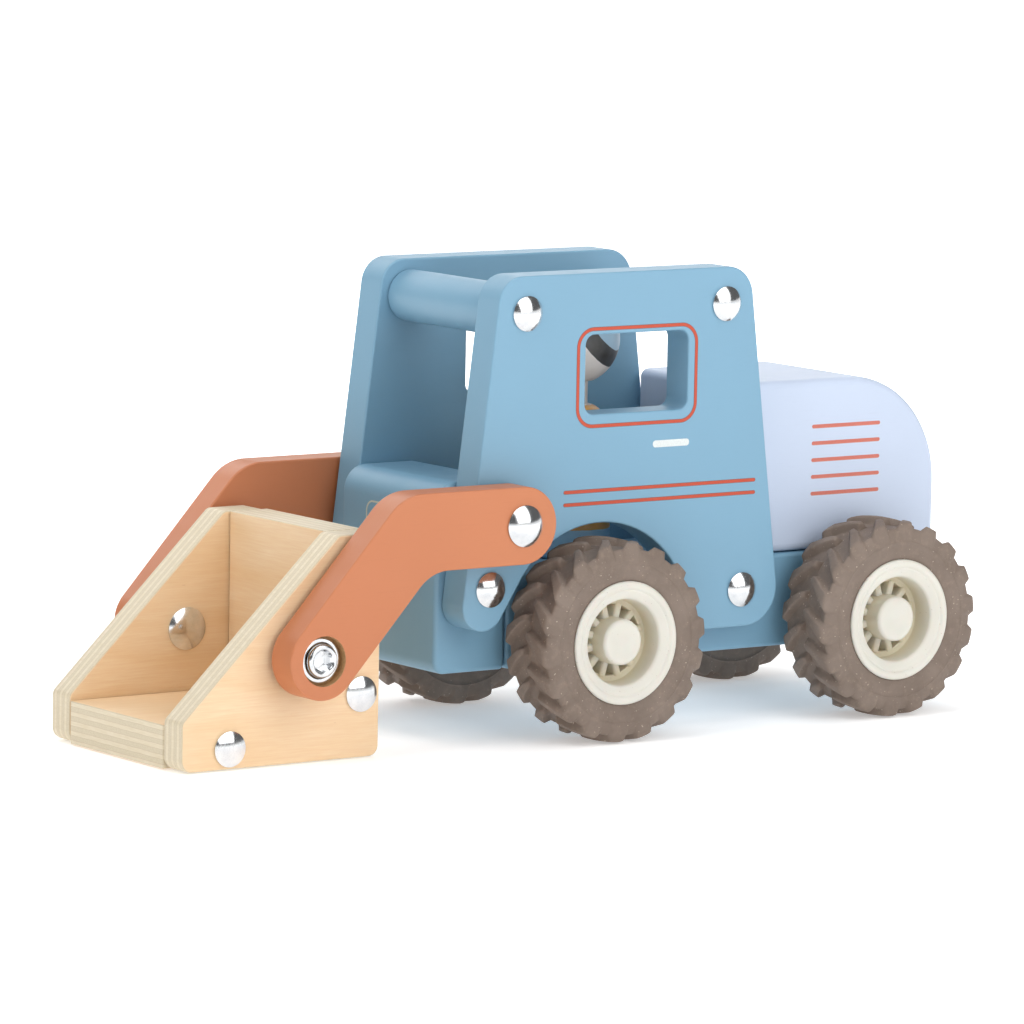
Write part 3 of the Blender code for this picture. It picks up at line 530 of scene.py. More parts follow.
def banded_paint(name, normal, centre, bands):
    """Lacquer colours in bands across a turned doll, each sprayed up to a masked line.

    The eye sees clean satin colours that meet in a slightly wavering line. The height of a point is
    its distance from the centre along the normal. bands holds, from the lowest one up, a colour and
    the height where the next colour starts.
    """
    material, tree, shader, place = new_finish(name, IOR=LACQUER_IOR)
    moved = add(tree, "VectorMath", (place, centre), operation="SUBTRACT")
    height = add(tree, "VectorMath", (moved, normal), "Value", operation="DOT_PRODUCT")
    waver = add(tree, "TexNoise", {"Vector": place, "Scale": per_mm(3)})
    waver = add(tree, "Math", (waver, 0.3 * MM), operation="MULTIPLY")
    height = add(tree, "Math", (height, waver), operation="ADD")
    tint = linear(bands[0][0])
    for (_, start), (following, _) in zip(bands, bands[1:]):
        above = add(tree, "MapRange", (height, start - 0.05 * MM, start + 0.05 * MM, 0, 1))
        tint = add(tree, "Mix", {0: above, 6: tint, 7: linear(following)}, **COLOURS)
    cloud = add(tree, "TexNoise", {"Vector": place, "Scale": per_mm(6), "Detail": 3})
    worn = add(tree, "MapRange", (cloud, 0.3, 0.7, 0, 0.06))
    tint = add(tree, "Mix", {0: worn, 6: tint, 7: linear("FFFFFF")}, **COLOURS)
    satin = add(tree, "MapRange", (cloud, 0.3, 0.7, 0.34, 0.46))
    peel = add(tree, "TexNoise", {"Vector": place, "Scale": per_mm(0.7), "Detail": 1})
    wire(tree, shader, tint, satin, peel, 0.01)
    return material


blue = sprayed_lacquer("dusty_blue_satin_lacquer", "79A3BC"), "blue_lacquer"
periwinkle = sprayed_lacquer("pale_periwinkle_satin_lacquer", "C2CEE2"), "pale_blue_lacquer"
terracotta = sprayed_lacquer("terracotta_satin_lacquer", "C37951"), "terracotta_lacquer"
birch = birch_plywood("birch_plywood_clear_lacquer"), "birch_plywood"
nickel = nickel_plate("nickel_plated_steel"), "polished_steel"
cream = moulded_plastic("cream_moulded_polypropylene"), "cream_plastic"
rubber = moulded_rubber("taupe_moulded_rubber"), "taupe_rubber"
red_ink = printed_ink("brick_red_pad_print", "C04A32"), "blue_lacquer"
faded_ink = printed_ink("faded_red_pad_print", "C9705F"), "pale_blue_lacquer"
dark_ink = printed_ink("dark_umber_pad_print", "6E5A50"), "blue_lacquer"
white_ink = printed_ink("off_white_pad_print", "D9DFDE"), "blue_lacquer"
cream_ink = printed_ink("pale_cream_pad_print", "C9CBBB"), "blue_lacquer"

# ---------------------------------------------------------------- boards

HOOD_AHEAD = 2.2 * MM  # the hood reaches this much further between the cab sides
HOOD_REAR_ROUND = 32.2 * MM


def add_blocks():
    """Chassis block, front block under the windscreen, and the engine hood."""
    low, high = span("chassis_block")
    outline = rectangle(low[0], high[0], low[2], high[2], 1.5 * MM)
    name = "lacquered_chassis_block"
    show_board(name, outline, low[1], high[1], 1.2 * MM, blue, "chassis", "chassis_block")
    low, high = span("front_block")
    corners = [
        (low[0], low[2], 1.5 * MM),
        (high[0], low[2], 4.0 * MM),
        (high[0], high[2], 7.3 * MM),
        (low[0], high[2], 1.5 * MM),
    ]
    outline, name = rounded(corners), "lacquered_front_block"
    show_board(name, outline, low[1], high[1], 1.4 * MM, blue, "chassis", "front_block")
    low, high = span("engine_hood")
    high[0] += HOOD_AHEAD
    corners = [
        (low[0], low[2], 2.2 * MM),
        (high[0], low[2], 2.2 * MM),
        (high[0], high[2], 2.6 * MM),
        (low[0], high[2], HOOD_REAR_ROUND),
    ]
    outline, name = rounded(corners, 3), "lacquered_engine_hood"
    show_board(name, outline, low[1], high[1], 2.2 * MM, periwinkle, "chassis", "engine_hood")


FRONT_LEAN = 7.1  # degrees, of the cab side's front edge
REAR_LEAN = 7.3
LEG_ROUND = 7.1 * MM
LEG_HEIGHT = 39.9 * MM
ARCH_ROUND = 32.4 * MM
REAR_LOW_ROUND = 11 * MM
FRONT_TOP_ROUND = 8 * MM
REAR_TOP_ROUND = 9 * MM


def cab_side_outline():
    """The leaning cab side, with its front leg and the arch over the front wheel.

    Each straight edge touches the circles at its two ends. The one behind the leg crosses between the
    leg's circle and the arch's, so it meets them where the cosine is their radii over their distance.
    """
    low, high = span("cab_side_left")
    axle = centre_of("axle_front")
    leg = (high[0] - LEG_ROUND + 0.06 * MM, LEG_HEIGHT)
    arch = (axle[0] - 0.8 * MM, axle[1] + 0.2 * MM)
    rear_low = (low[0] + REAR_LOW_ROUND - 0.09 * MM, low[2] + REAR_LOW_ROUND)
    ahead = np.array([cos(radians(FRONT_LEAN)), sin(radians(FRONT_LEAN))])
    behind = np.array([-cos(radians(REAR_LEAN)), sin(radians(REAR_LEAN))])
    front_z, rear_z = high[2] - FRONT_TOP_ROUND, high[2] - REAR_TOP_ROUND
    front_x = (ahead @ leg + LEG_ROUND - FRONT_TOP_ROUND - front_z * ahead[1]) / ahead[0]
    rear_x = (behind @ rear_low + REAR_LOW_ROUND - REAR_TOP_ROUND - rear_z * behind[1]) / behind[0]
    to_leg = np.subtract(leg, arch)
    touch = atan2(to_leg[1], to_leg[0]) + acos((ARCH_ROUND + LEG_ROUND) / np.hypot(*to_leg))
    touch = np.degrees(touch)
    foot = 270 - np.degrees(acos((arch[1] - low[2]) / ARCH_ROUND))
    turns = [
        arc((front_x, front_z), FRONT_TOP_ROUND, 90, FRONT_LEAN),
        arc(leg, LEG_ROUND, FRONT_LEAN, touch - 180),
        arc(arch, ARCH_ROUND, touch, foot),
        arc(rear_low, REAR_LOW_ROUND, 270, 180 - REAR_LEAN),
        arc((rear_x, rear_z), REAR_TOP_ROUND, 180 - REAR_LEAN, 90),
    ]
    return np.concatenate(turns)[::-1]


WINDOW = (-34.5 * MM, 1.5 * MM, 92.5 * MM, 115.2 * MM)  # rear, front, bottom, top
WINDOW_ROUND = 3 * MM
WINDOW_EDGE = 0.6 * MM
CAB_EDGE = 0.55 * MM
REAR_DOWEL = 3.9 * MM  # thin enough to stay out of sight behind the near side's top edge


def rod_profile(radius, half, soft, step):
    """A rod's section from one end's middle to the other's, with soft edges."""
    corners = [(0, half, 0), (radius, half, soft), (radius, -half, soft), (0, -half, 0)]
    return rounded(corners, step, closed=False)


def add_cab():
    """Cab sides with their windows, and the roof dowels."""
    for side, _ in SIDES:
        node = f"cab_side_{side}"
        low, high = span(node)
        opening = rectangle(*WINDOW, WINDOW_ROUND)
        holes = [wall_rows(opening, low[1], high[1], WINDOW_EDGE, outwards=False)]
        outline, name = cab_side_outline(), f"lacquered_{node}"
        show_board(name, outline, low[1], high[1], CAB_EDGE, blue, "chassis", node, holes=holes)
    for end in ("front", "rear"):
        node = f"roof_dowel_{end}"
        low, high = span(node)
        radius = (high[0] - low[0]) / 2 if end == "front" else REAR_DOWEL
        profile = rod_profile(radius, (high[1] - low[1]) / 2, 0.5 * MM, 15)
        show_turned(f"lacquered_{node}", profile, (low + high) / 2, 1, blue, "chassis", node)


ARM_HALF_WIDTH = 11 * MM
ARM_SLOPE = radians(-47.6)
ARM_EDGE = 0.5 * MM
BEND_BELOW = 13 * MM
BEND_ABOVE = 14.5 * MM
COUNTERBORE = 7.05 * MM
COUNTERBORE_DEPTH = 3.2 * MM
BOLT_BORE = 4.2 * MM
BARE = 2.0  # the value of "edge" where a drill has cut through the lacquer


def arm_outline():
    """The bent arm: level from its pivot, then down to the bucket, as wide all the way."""
    along = np.array([cos(ARM_SLOPE), sin(ARM_SLOPE)])
    across = np.array([-along[1], along[0]])
    level = np.array([0, 1])
    bucket = np.array([BUCKET_PIVOT.x, BUCKET_PIVOT.z])
    pivot = np.array([ARM_PIVOT.x, ARM_PIVOT.z])
    bend = bucket - along * ((bucket[1] - pivot[1]) / along[1])
    half = ARM_HALF_WIDTH
    mitre = (level + across) * (half / (1 + level @ across))
    end = bucket + along * half
    tip_round = half * 0.999
    corners = [
        (pivot[0] - half, pivot[1] - half, tip_round),
        (*(bend - mitre), BEND_BELOW),
        (*(end - across * half), tip_round),
        (*(end + across * half), tip_round),
        (*(bend + mitre), BEND_ABOVE),
        (pivot[0] - half, pivot[1] + half, tip_round),
    ]
    return rounded(corners, 4)


def counterbore(inner, outer, sign, count=48):
    """Rows of the bore that a bucket bolt is sunk in, the face towards +Y first, all of it bare wood."""
    floor = outer - sign * COUNTERBORE_DEPTH
    profile = [
        (COUNTERBORE, outer),
        (COUNTERBORE, outer - sign * 0.03 * MM),
        (COUNTERBORE, floor),
        (BOLT_BORE, floor),
        (BOLT_BORE, inner),
    ]
    ring = circle((0, 0), 1, count)
    pivot = np.array([BUCKET_PIVOT.x, BUCKET_PIVOT.z])
    rows = [np.column_stack([ring * radius + pivot, np.full(count, w)]) for radius, w in profile]
    cut = np.full((len(rows), count), BARE)
    cut[0] = 0
    return np.array(rows)[::sign], cut[::sign]


def add_arms():
    """The loader arms, each with the counterbore that its bucket bolt is sunk in."""
    for side, sign in SIDES:
        node = f"loader_arm_{side}"
        low, high = span(node)
        holes = [counterbore(*flank_of(node, sign), sign)]
        outline, name = arm_outline(), f"lacquered_{node}"
        show_board(name, outline, low[1], high[1], ARM_EDGE, terracotta, "loader", node, holes=holes)


LIP_HEIGHT = 14 * MM  # of the bucket side's front edge
TOP_FRONT = 83.9 * MM  # where its top edge starts to slope
SIDE_EDGE = 0.5 * MM
INNER_EDGE = 0.3 * MM  # of the boards between the sides


def add_bucket():
    """The plywood bucket: two sides, a back board and a floor board."""
    for side, _ in SIDES:
        node = f"bucket_side_{side}"
        low, high = span(node)
        corners = [
            (low[0], low[2], 3.0 * MM),
            (high[0], low[2], 3.5 * MM),
            (high[0], LIP_HEIGHT, 2.5 * MM),
            (TOP_FRONT, high[2], 2.5 * MM),
            (low[0], high[2], 2.5 * MM),
        ]
        name = f"plywood_{node}"
        show_board(name, rounded(corners), low[1], high[1], SIDE_EDGE, birch, "bucket", node)
    for node, u, v, w, axis in (("bucket_back", 1, 2, 0, "X"), ("bucket_floor", 0, 1, 2, "Z")):
        low, high = span(node)
        outline, name = rectangle(low[u], high[u], low[v], high[v], 0.6 * MM), f"plywood_{node}"
        show_board(name, outline, low[w], high[w], INNER_EDGE, birch, "bucket", node, axis=axis)


# ---------------------------------------------------------------- fittings

CAB_SCREWS = ("front_dowel_screw", "rear_dowel_screw", "leg_screw", "chassis_screw")
BUCKET_SCREWS = ("bucket_floor_screw", "bucket_back_screw")
CAP_RADIUS = 5.0 * MM
CAP_RIM = 0.5 * MM
CAP_SUNK = 0.3 * MM  # how far the loader rod's caps reach into the wood's edge


def dome(radius, height, points=10):
    """The profile of a pressed cap: a shallow ball down to a thin upright rim, and a flat back.

    A ball of radius (radius squared + rise squared) / (2 rise) passes through the top and the rim.
    """
    rise = height - CAP_RIM
    ball = (radius * radius + rise * rise) / (2 * rise)
    angle = np.linspace(0, 2 * atan2(rise, radius), points)
    top = np.stack([ball * np.sin(angle), ball * np.cos(angle) - ball + height], 1)
    return np.vstack([top, [[radius, CAP_RIM / 2], [radius - 0.1 * MM, 0], [0, 0]]])


def add_caps():
    """The domed heads of the screws and of the loader's rod."""
    for side, sign in SIDES:
        wall = flank_of(f"cab_side_{side}", sign)[1]
        bucket_wall = flank_of(f"bucket_side_{side}", sign)[1]
        fixed = [(name, "chassis", wall, 2.3 * MM) for name in CAB_SCREWS]
        fixed += [(name, "bucket", bucket_wall, 1.7 * MM) for name in BUCKET_SCREWS]
        for name, body, start, height in fixed:
            node = f"{name}_{side}"
            x, z = centre_of(node)
            profile, centre = dome(CAP_RADIUS, height), (x, start, z)
            show_turned(f"domed_{node}", profile, centre, sign, nickel, body, node, steps=64)
        node = f"arm_pivot_cap_{side}"
        low, high = span(node)
        near, far = flank_of(node, sign)
        profile = dome((high[0] - low[0]) / 2, abs(far - near) + CAP_SUNK)
        centre = (ARM_PIVOT.x, near - sign * CAP_SUNK, ARM_PIVOT.z)
        show_turned(f"domed_{node}", profile, centre, sign, nickel, "loader", node, steps=64)


def add_rings():
    """Washers and spacers: a closed section with soft edges, turned about the bolt or axle."""
    for side, sign in SIDES:
        rings = [
            (f"arm_washer_{side}", "chassis", 3.1 * MM),
            (f"bucket_pivot_washer_{side}", "loader", 5.0 * MM),
            (f"bucket_spacer_{side}", "bucket", BOLT_BORE),
            (f"axle_washer_front_{side}", "chassis", 2.8 * MM),
            (f"axle_washer_rear_{side}", "chassis", 2.8 * MM),
        ]
        for node, body, bore in rings:
            low, high = span(node)
            near, far = flank_of(node, sign)
            x, z = centre_of(node)
            thick, outer = abs(far - near), (high[0] - low[0]) / 2
            if body == "loader":
                outer = min(outer, COUNTERBORE - 0.75 * MM)
            corners = ((bore, 0), (bore, thick), (outer, thick), (outer, 0))
            profile = rounded([(r, h, thick * 0.3) for r, h in corners], 30)
            show_turned(f"plated_{node}", profile, (x, near, z), sign, nickel, body, node)


SOCKET = 2.6 * MM  # half the distance across the flats of the bolt's hexagonal socket
HEAD = 4.8 * MM
HEAD_THICKNESS = 1.4 * MM
BARREL = 3.9 * MM
BARREL_END = 7.7 * MM  # from the bolt's inner end
SHANK = 2.6 * MM
NUT_MARGIN = 0.5 * MM


def hexagon(radius, angle):
    """The rows inside the socket follow a hexagon: half its width / cos of the angle off a flat."""
    off = (angle + pi / 6) % (pi / 3) - pi / 6
    inside = radius[:, 0] < SOCKET * 1.02
    radius[inside] = radius[inside] / np.cos(off)
    return radius


def bolt_profile(start, top):
    """A sunk bolt from its socket's floor over the round crown and down its barrel and shank."""
    crown = [
        (3.15, 0.5),
        (3.3, 0.22),
        (3.6, 0.04),
        (3.9, 0.0),
        (4.25, 0.1),
        (4.55, 0.35),
        (4.72, 0.65),
        (4.8, 1.0),
    ]
    return [
        (0, top - 3.4 * MM),
        (SOCKET * 0.98, top - 3.0 * MM),
        (SOCKET, top - 1.1 * MM),
        *[(radius * MM, top - drop * MM) for radius, drop in crown],
        (HEAD, top - HEAD_THICKNESS),
        (BARREL, top - HEAD_THICKNESS),
        (BARREL, start + BARREL_END),
        (SHANK, start + BARREL_END),
        (SHANK, start),
        (0, start),
    ]


def add_bolts():
    """On each flank the bucket's bolt, its hexagonal socket, and the cap nut inside the bucket."""
    for side, sign in SIDES:
        node = f"bucket_pivot_bolt_{side}"
        near, far = flank_of(node, sign)
        profile, centre = bolt_profile(abs(near), abs(far)), (BUCKET_PIVOT.x, 0, BUCKET_PIVOT.z)
        show_turned(f"plated_{node}", profile, centre, sign, nickel, "bucket", node, shape=hexagon)
        node = f"bucket_cap_nut_{side}"
        low, high = span(node)
        wall = abs(flank_of(f"bucket_side_{side}", sign)[0])
        rise = wall - abs(flank_of(node, sign)[0])
        profile = dome((high[0] - low[0]) / 2 - NUT_MARGIN, rise, 14)
        centre = (BUCKET_PIVOT.x, sign * wall, BUCKET_PIVOT.z)
        show_turned(f"plated_{node}", profile, centre, -sign, nickel, "bucket", node)


def add_rods():
    """The steel axles and the rod that the loader swings on."""
    rods = {"axle_front": "front_wheels", "axle_rear": "rear_wheels", "arm_pivot_rod": "loader"}
    for node, body in rods.items():
        low, high = span(node)
        profile = rod_profile((high[0] - low[0]) / 2, (high[1] - low[1]) / 2, 0.4 * MM, 30)
        show_turned(f"steel_{node}", profile, (low + high) / 2, 1, nickel, body, node, steps=48)


# ---------------------------------------------------------------- wheels

LUGS = 18
TREAD = 26.2 * MM
SWEEP = radians(13)
PHASE = radians(6.3)  # how far the tyres have rolled on


def tread_rows():
    """Half a tyre's rows, from the middle of the tread over the shoulder and down the flank to the bore.

    Each row holds the groove's radius and height, the lug's radius and height, the lug's share of the
    sweep, half its foot and half its crest, how far the columns are evened out, all in millimetres.
    """
    lugged = [
        (26.5, 0.0, 26.5, 0.0, 1.00, 1.5, 0.6, 1.0),
        (26.5, 0.35, 26.5, 0.35, 0.99, 1.5, 0.6, 0.8),
        (26.5, 0.6, 26.9, 0.45, 0.98, 1.5, 0.6, 0.3),
        (26.5, 0.8, 28.0, 0.60, 0.97, 1.55, 0.65, 0.0),
        (26.5, 1.1, 28.5, 0.85, 0.95, 1.65, 0.7, 0.0),
        (26.5, 1.6, 28.72, 1.4, 0.92, 1.8, 0.85, 0.0),
        (26.5, 3.0, 28.8, 3.0, 0.80, 2.1, 1.1, 0.0),
        (26.45, 4.6, 28.8, 4.7, 0.62, 2.3, 1.3, 0.0),
        (26.3, 6.2, 28.72, 6.4, 0.40, 2.55, 1.5, 0.0),
        (26.6, 7.5, 28.6, 7.9, 0.20, 2.85, 1.75, 0.0),
        (26.8, 8.2, 28.5, 8.75, 0.10, 3.0, 1.9, 0.0),
        (26.75, 8.7, 28.28, 9.15, 0.04, 3.1, 1.95, 0.0),
        (26.45, 9.05, 27.95, 9.45, 0.02, 3.15, 2.0, 0.0),
        (25.8, 9.35, 26.9, 9.68, 0.0, 3.15, 2.1, 0.0),
        (24.9, 9.7, 25.6, 9.95, 0.0, 3.1, 2.2, 0.0),
        (24.0, 9.98, 24.4, 10.18, 0.0, 3.0, 2.25, 0.0),
        (23.45, 10.12, 23.6, 10.24, 0.0, 2.8, 2.2, 0.3),
        (23.05, 10.2, 23.05, 10.26, 0.0, 2.8, 2.2, 1.0),
    ]
    flank = [
        (22.95, 10.32),
        (22.75, 10.32),
        (22.65, 10.2),
        (21.5, 10.12),
        (19.6, 9.98),
        (18.4, 9.82),
        (17.6, 9.4),
        (16.5, 8.6),
    ]
    return np.array(lugged + [(*point, *point, 0.0, 2.8, 2.2, 1.0) for point in flank])


def tyre(centre):
    """Points and faces of a lugged tyre on the wheel's centre.

    A point lies between the groove's section and the lug's section, by the lug's height at its column.
    The columns follow the lug, which turns with its share of the sweep, and even out to a plain ring
    at the middle of the tread and on the flank, where the two halves, half a pitch apart, meet.
    """
    rows = tread_rows()
    groove, crest = rows[:, 0:2] * MM, rows[:, 2:4] * MM
    share, foot, top, even = rows[:, 4], rows[:, 5] * MM / TREAD, rows[:, 6] * MM / TREAD, rows[:, 7]
    # From one gap's middle to the lug's middle: weights of foot, crest and half pitch, and the height.
    columns = np.array(
        [
            (0, 0, 1, 0),
            (0.5, 0, 0.5, 0),
            (0.93, 0, 0.07, 0),
            (1, 0, 0, 0.03),
            (0.78, 0.22, 0, 0.24),
            (0.5, 0.5, 0, 0.52),
            (0.22, 0.78, 0, 0.80),
            (0.05, 0.95, 0, 0.96),
            (0, 0.82, 0, 1),
            (0, 0.4, 0, 1),
        ]
    )
    weights = np.vstack([-columns[:, :3], [[0, 0, 0]], columns[:0:-1, :3]])
    rise = np.concatenate([columns[:, 3], [1.0], columns[:0:-1, 3]])
    pitch = 2 * pi / LUGS
    count = len(rise)
    plain = np.linspace(-pitch / 2, pitch / 2, count, endpoint=False)
    shape = np.outer(foot, weights[:, 0]) + np.outer(top, weights[:, 1]) + pitch / 2 * weights[:, 2]
    local = shape * (1 - even[:, None]) + plain * even[:, None]
    turn = np.arange(LUGS)[None, :, None] * pitch
    angle = (local[:, None, :] + turn).reshape(len(rows), -1) - SWEEP * share[:, None] + PHASE
    height = np.tile(rise, LUGS) * np.ones((len(rows), 1))
    halves = []
    for side in (1, -1):
        if side < 0:
            angle = np.roll(angle + pitch / 2, count // 2, 1)
            height = np.roll(height, count // 2, 1)
        section = groove[:, None, :] + (crest - groove)[:, None, :] * height[:, :, None]
        radius, across = section[:, :, 0], section[:, :, 1] * side
        halves.append(np.stack([radius * np.cos(angle), across, radius * np.sin(-angle)], 2))
    grid = np.concatenate([halves[0], halves[1][:0:-1]])
    points = grid.reshape(-1, 3) + np.array(centre)
    return points, grid_faces(len(grid), grid.shape[1], closed_rows=True).tolist()


def rim_profile(boss):
    """The moulded wheel's section from the hub cap's middle, over the lip, and back to the axle's bore.

    Its corners are in millimetres: radius, height and rounding.
    """
    corners = [
        (0, 8.72, 0),
        (1.75, 8.72, 0),
        (1.9, 8.8, 0),
        (6.6, 8.8, 1.2),
        (6.75, -1.4, 0.3),
        (10.1, -1.4, 0.3),
        (10.25, 2.3, 0.3),
        (11.95, 2.4, 0.4),
        (12.4, 8.9, 1.2),
        (14.8, 9.95, 0.6),
        (15.2, 9.9, 0.3),
        (15.8, 10.4, 0.7),
        (17.3, 10.5, 1.1),
        (18.0, 9.4, 0.6),
        (17.7, 9.3, 0),
        (16.2, 8.5, 0),
        (16.2, -8.5, 0),
        (18.0, -9.6, 0.4),
        (17.2, -10.5, 0.5),
        (14.0, -10.0, 0.4),
        (13.5, -3.0, 0.5),
        (5.4, -3.0, 0.5),
        (5.2, -boss / MM, 0.4),
        (2.8, -boss / MM, 0.2),
        (2.8, 6.6, 0),
        (0, 6.6, 0),
    ]
    return rounded(corners, 12, closed=False) * MM


SPOKES = 12
SPOKE_REACH = (6.2 * MM, 10.6 * MM)


def spokes(centre, sign):
    """Moulded bars between the hub's barrel and the dish: a round-topped section carried outwards."""
    corners = [(-1.1, 2.9, 0.8), (-1.25, -1.7, 0), (1.25, -1.7, 0), (1.1, 2.9, 0.8)]
    section = rounded(corners, 22.5) * MM
    points, faces = [], []
    for index in range(SPOKES):
        angle = radians(15) + 2 * pi * index / SPOKES
        out, beside = np.array([cos(angle), sin(angle)]), np.array([-sin(angle), cos(angle)])
        start = len(section) * 2 * index
        for radius in SPOKE_REACH:
            flat = out * radius + section[:, :1] * beside
            points.append(np.column_stack([flat[:, 0], sign * section[:, 1], flat[:, 1]]))
        faces += (grid_faces(2, len(section)) + start).tolist()
        near = list(range(start, start + len(section)))
        faces += [near[::-1], [i + len(section) for i in near]]
    return np.concatenate(points) + np.array(centre), faces


def painted_dish_shade(points, centre):
    """How far a point lies inside the wheel's dish: 0 on its brim and hub cap, 1 from 6 mm down."""
    # Painted shade: this depth masks the darker, yellower colour painted inside the dish.
    out = points - np.array(centre)
    radius = np.hypot(out[:, 0], out[:, 2])
    down = (9.0 * MM - np.abs(out[:, 1])) / (6.0 * MM)
    return {"painted_dish_shade": np.clip(down, 0, 1) * (radius > 6.5 * MM)}


def add_wheels():
    """Four tyres on moulded wheels."""
    for end in ("front", "rear"):
        for side, sign in SIDES:
            body = f"{end}_wheels"
            node = f"tyre_{end}_{side}"
            low, high = span(node)
            axle = centre_of(f"axle_{end}")
            centre = (axle[0], (low[1] + high[1]) / 2, axle[1])
            points, faces = tyre(centre)
            mesh = new_mesh(node, points, agreed(points, faces))
            show(f"rubber_{node}", mesh, rubber, body, node, crease=50)
            node = f"wheel_{end}_{side}"
            profile = rim_profile(abs(centre[1] - flank_of(node, sign)[0]))
            name = f"moulded_{node}"
            show_turned(name, profile, centre, sign, cream, body, node, steps=96, shade=painted_dish_shade)
            points, faces = spokes(centre, sign)
            mesh = new_mesh("spokes", points, agreed(points, faces), painted_dish_shade(points, centre))
            show(f"moulded_spokes_{end}_{side}", mesh, cream, body)


# ---------------------------------------------------------------- driver

HEAD_UP = (-0.545, 0.608, 0.577)  # the doll looks to its right, its cap pushed back
HEAD_TURN = radians(-48)
HEAD_RADIUS = 13.45 * MM
HEAD_HEIGHT = 110.2 * MM
NECK = 4.4 * MM
SHOULDER = 44.2 * MM
SHOULDER_DROP = 12 * MM
JACKET_START = 8.7 * MM
JACKET_END = 44.15 * MM
FOOT_ROUND = 0.9 * MM
EYE = 1.15 * MM
EYE_ACROSS = radians(18)
EYE_UP = radians(4)


def add_driver():
    """The peg doll: a turned body with trousers and jacket, and a ball head with hair and a cap."""
    low, high = span("driver_body")
    axis = (low + high) / 2
    radius = (high[0] - low[0]) / 2
    height = high[2] - low[2]
    slope = np.linspace(0, pi / 2, 14)
    shoulder = np.stack(
        [NECK + (radius - NECK) * np.sin(slope), SHOULDER - SHOULDER_DROP * (1 - np.cos(slope))], 1
    )
    foot = arc((radius - FOOT_ROUND, FOOT_ROUND), FOOT_ROUND, 0, -90, 22.5)
    profile = np.vstack([[[0, height], [NECK, height]], shoulder, foot, [[0, 0]]])
    bands = (("9CC3DA", JACKET_START), ("DFA04A", JACKET_END), ("E9DACE", None))
    clothes = banded_paint("doll_clothes_satin_lacquer", (0, 0, 1), (0, 0, low[2]), bands)
    coat, centre = (clothes, "orange_lacquer"), (axis[0], axis[1], low[2])
    show_turned("lacquered_driver_body", profile, centre, 1, coat, "chassis", "driver_body", axis="Z")

    low, high = span("driver_head")
    centre = (low + high) / 2
    centre[2] = HEAD_HEIGHT
    cut = acos((low[2] - centre[2]) / HEAD_RADIUS)
    angle = np.linspace(0, cut, 40)
    ball = HEAD_RADIUS * np.stack([np.sin(angle), np.cos(angle)], 1)
    profile = np.vstack([ball, [[0, HEAD_RADIUS * cos(cut)]]])
    bands = (("E9DCD2", 0.34 * HEAD_RADIUS), ("39332E", 0.68 * HEAD_RADIUS), ("A9C4D4", None))
    coat = banded_paint("doll_head_satin_lacquer", HEAD_UP, tuple(centre), bands), "skin_lacquer"
    show_turned("lacquered_driver_head", profile, centre, 1, coat, "chassis", "driver_head", axis="Z")
    eyes = printed_ink("dark_brown_dot_print", "2E2622"), "skin_lacquer"
    for side, sign in SIDES:
        points, faces = face_dot(centre, HEAD_RADIUS, HEAD_TURN + sign * EYE_ACROSS, EYE_UP, EYE)
        show(f"printed_eye_{side}", new_mesh("eye", points, faces), eyes, "chassis")


def face_dot(centre, radius, across, up, size, steps=24, rows=5):
    """A round dot printed on a ball: rings about its middle, laid on the sphere, with a thin skin.

    Ring i has radius size i / rows, and stands 0.05 mm proud, falling to just under the surface.
    """
    proud, under = 0.05 * MM, -0.1 * MM
    middle = np.array([cos(up) * cos(across), cos(up) * sin(across), sin(up)])
    beside = np.array([-sin(across), cos(across), 0])
    above = np.cross(middle, beside)
    spread = np.concatenate([np.linspace(0, 1, rows)[1:], [1.0], np.linspace(1, 0, rows)[1:-1]])
    lift = np.concatenate([np.full(rows - 1, proud), np.full(rows - 1, under)])
    turn = np.linspace(0, 2 * pi, steps, endpoint=False)[None, :, None]
    flat = (beside * np.cos(turn) + above * np.sin(turn)) * spread[:, None, None] * size
    out = middle * radius + flat
    out *= (radius + lift)[:, None, None] / np.linalg.norm(out, axis=2, keepdims=True)
    tips = [middle * (radius + proud), middle * (radius + under)]
    points = np.vstack([out.reshape(-1, 3), tips]) + centre
    faces = grid_faces(len(spread), steps).tolist()
    first = np.arange(steps)
    last = first + (len(spread) - 1) * steps
    tip = np.full(steps, len(points) - 2)
    faces += np.stack([tip, np.roll(first, -1), first], 1).tolist()
    faces += np.stack([tip + 1, last, np.roll(last, -1)], 1).tolist()
    return points, agreed(points, faces)


# ---------------------------------------------------------------- prints

INK = 0.03 * MM  # the ink stands this proud of the lacquer
LINE = 1.12 * MM
BORDER = 0.13 * MM
STRIPES = (70.7 * MM, 67.1 * MM)
STRIPE_ENDS = (-59.45 * MM, 8.55 * MM)
FRAME = (-37.8 * MM, 4.8 * MM, 88.6 * MM, 117.4 * MM)
FRAME_ROUND = 5.8 * MM
HANDLE = (-35.3 * MM, -22.5 * MM, 81.95 * MM, 83.95 * MM)
HANDLE_ROUND = 0.9 * MM
VENTS = 5
VENT_ENDS = (-113.4 * MM, -88.2 * MM)
VENT_PITCH = 4.94 * MM
VENT_LOWEST = 63.65 * MM
PANEL = (-11.4 * MM, 11.4 * MM, 50.0 * MM, 65.7 * MM)  # on the front block
PANEL_ROUND = 3.2 * MM
PANEL_LINE = 0.5 * MM


def add_print(name, outline, wall, sign, coat, inner=None, axis="Y"):
    """A flat printed shape, a thin skin on a wall. With an inner outline it is a frame."""
    low, high = sorted((wall - sign * INK, wall + sign * INK))
    holes = [] if inner is None else [wall_rows(inner, low, high, 0, outwards=False, steps=1)]
    points, faces, _ = board(outline, low, high, 0.0, holes, axis)
    return show(name, new_mesh(name, points, faces), coat, "chassis")


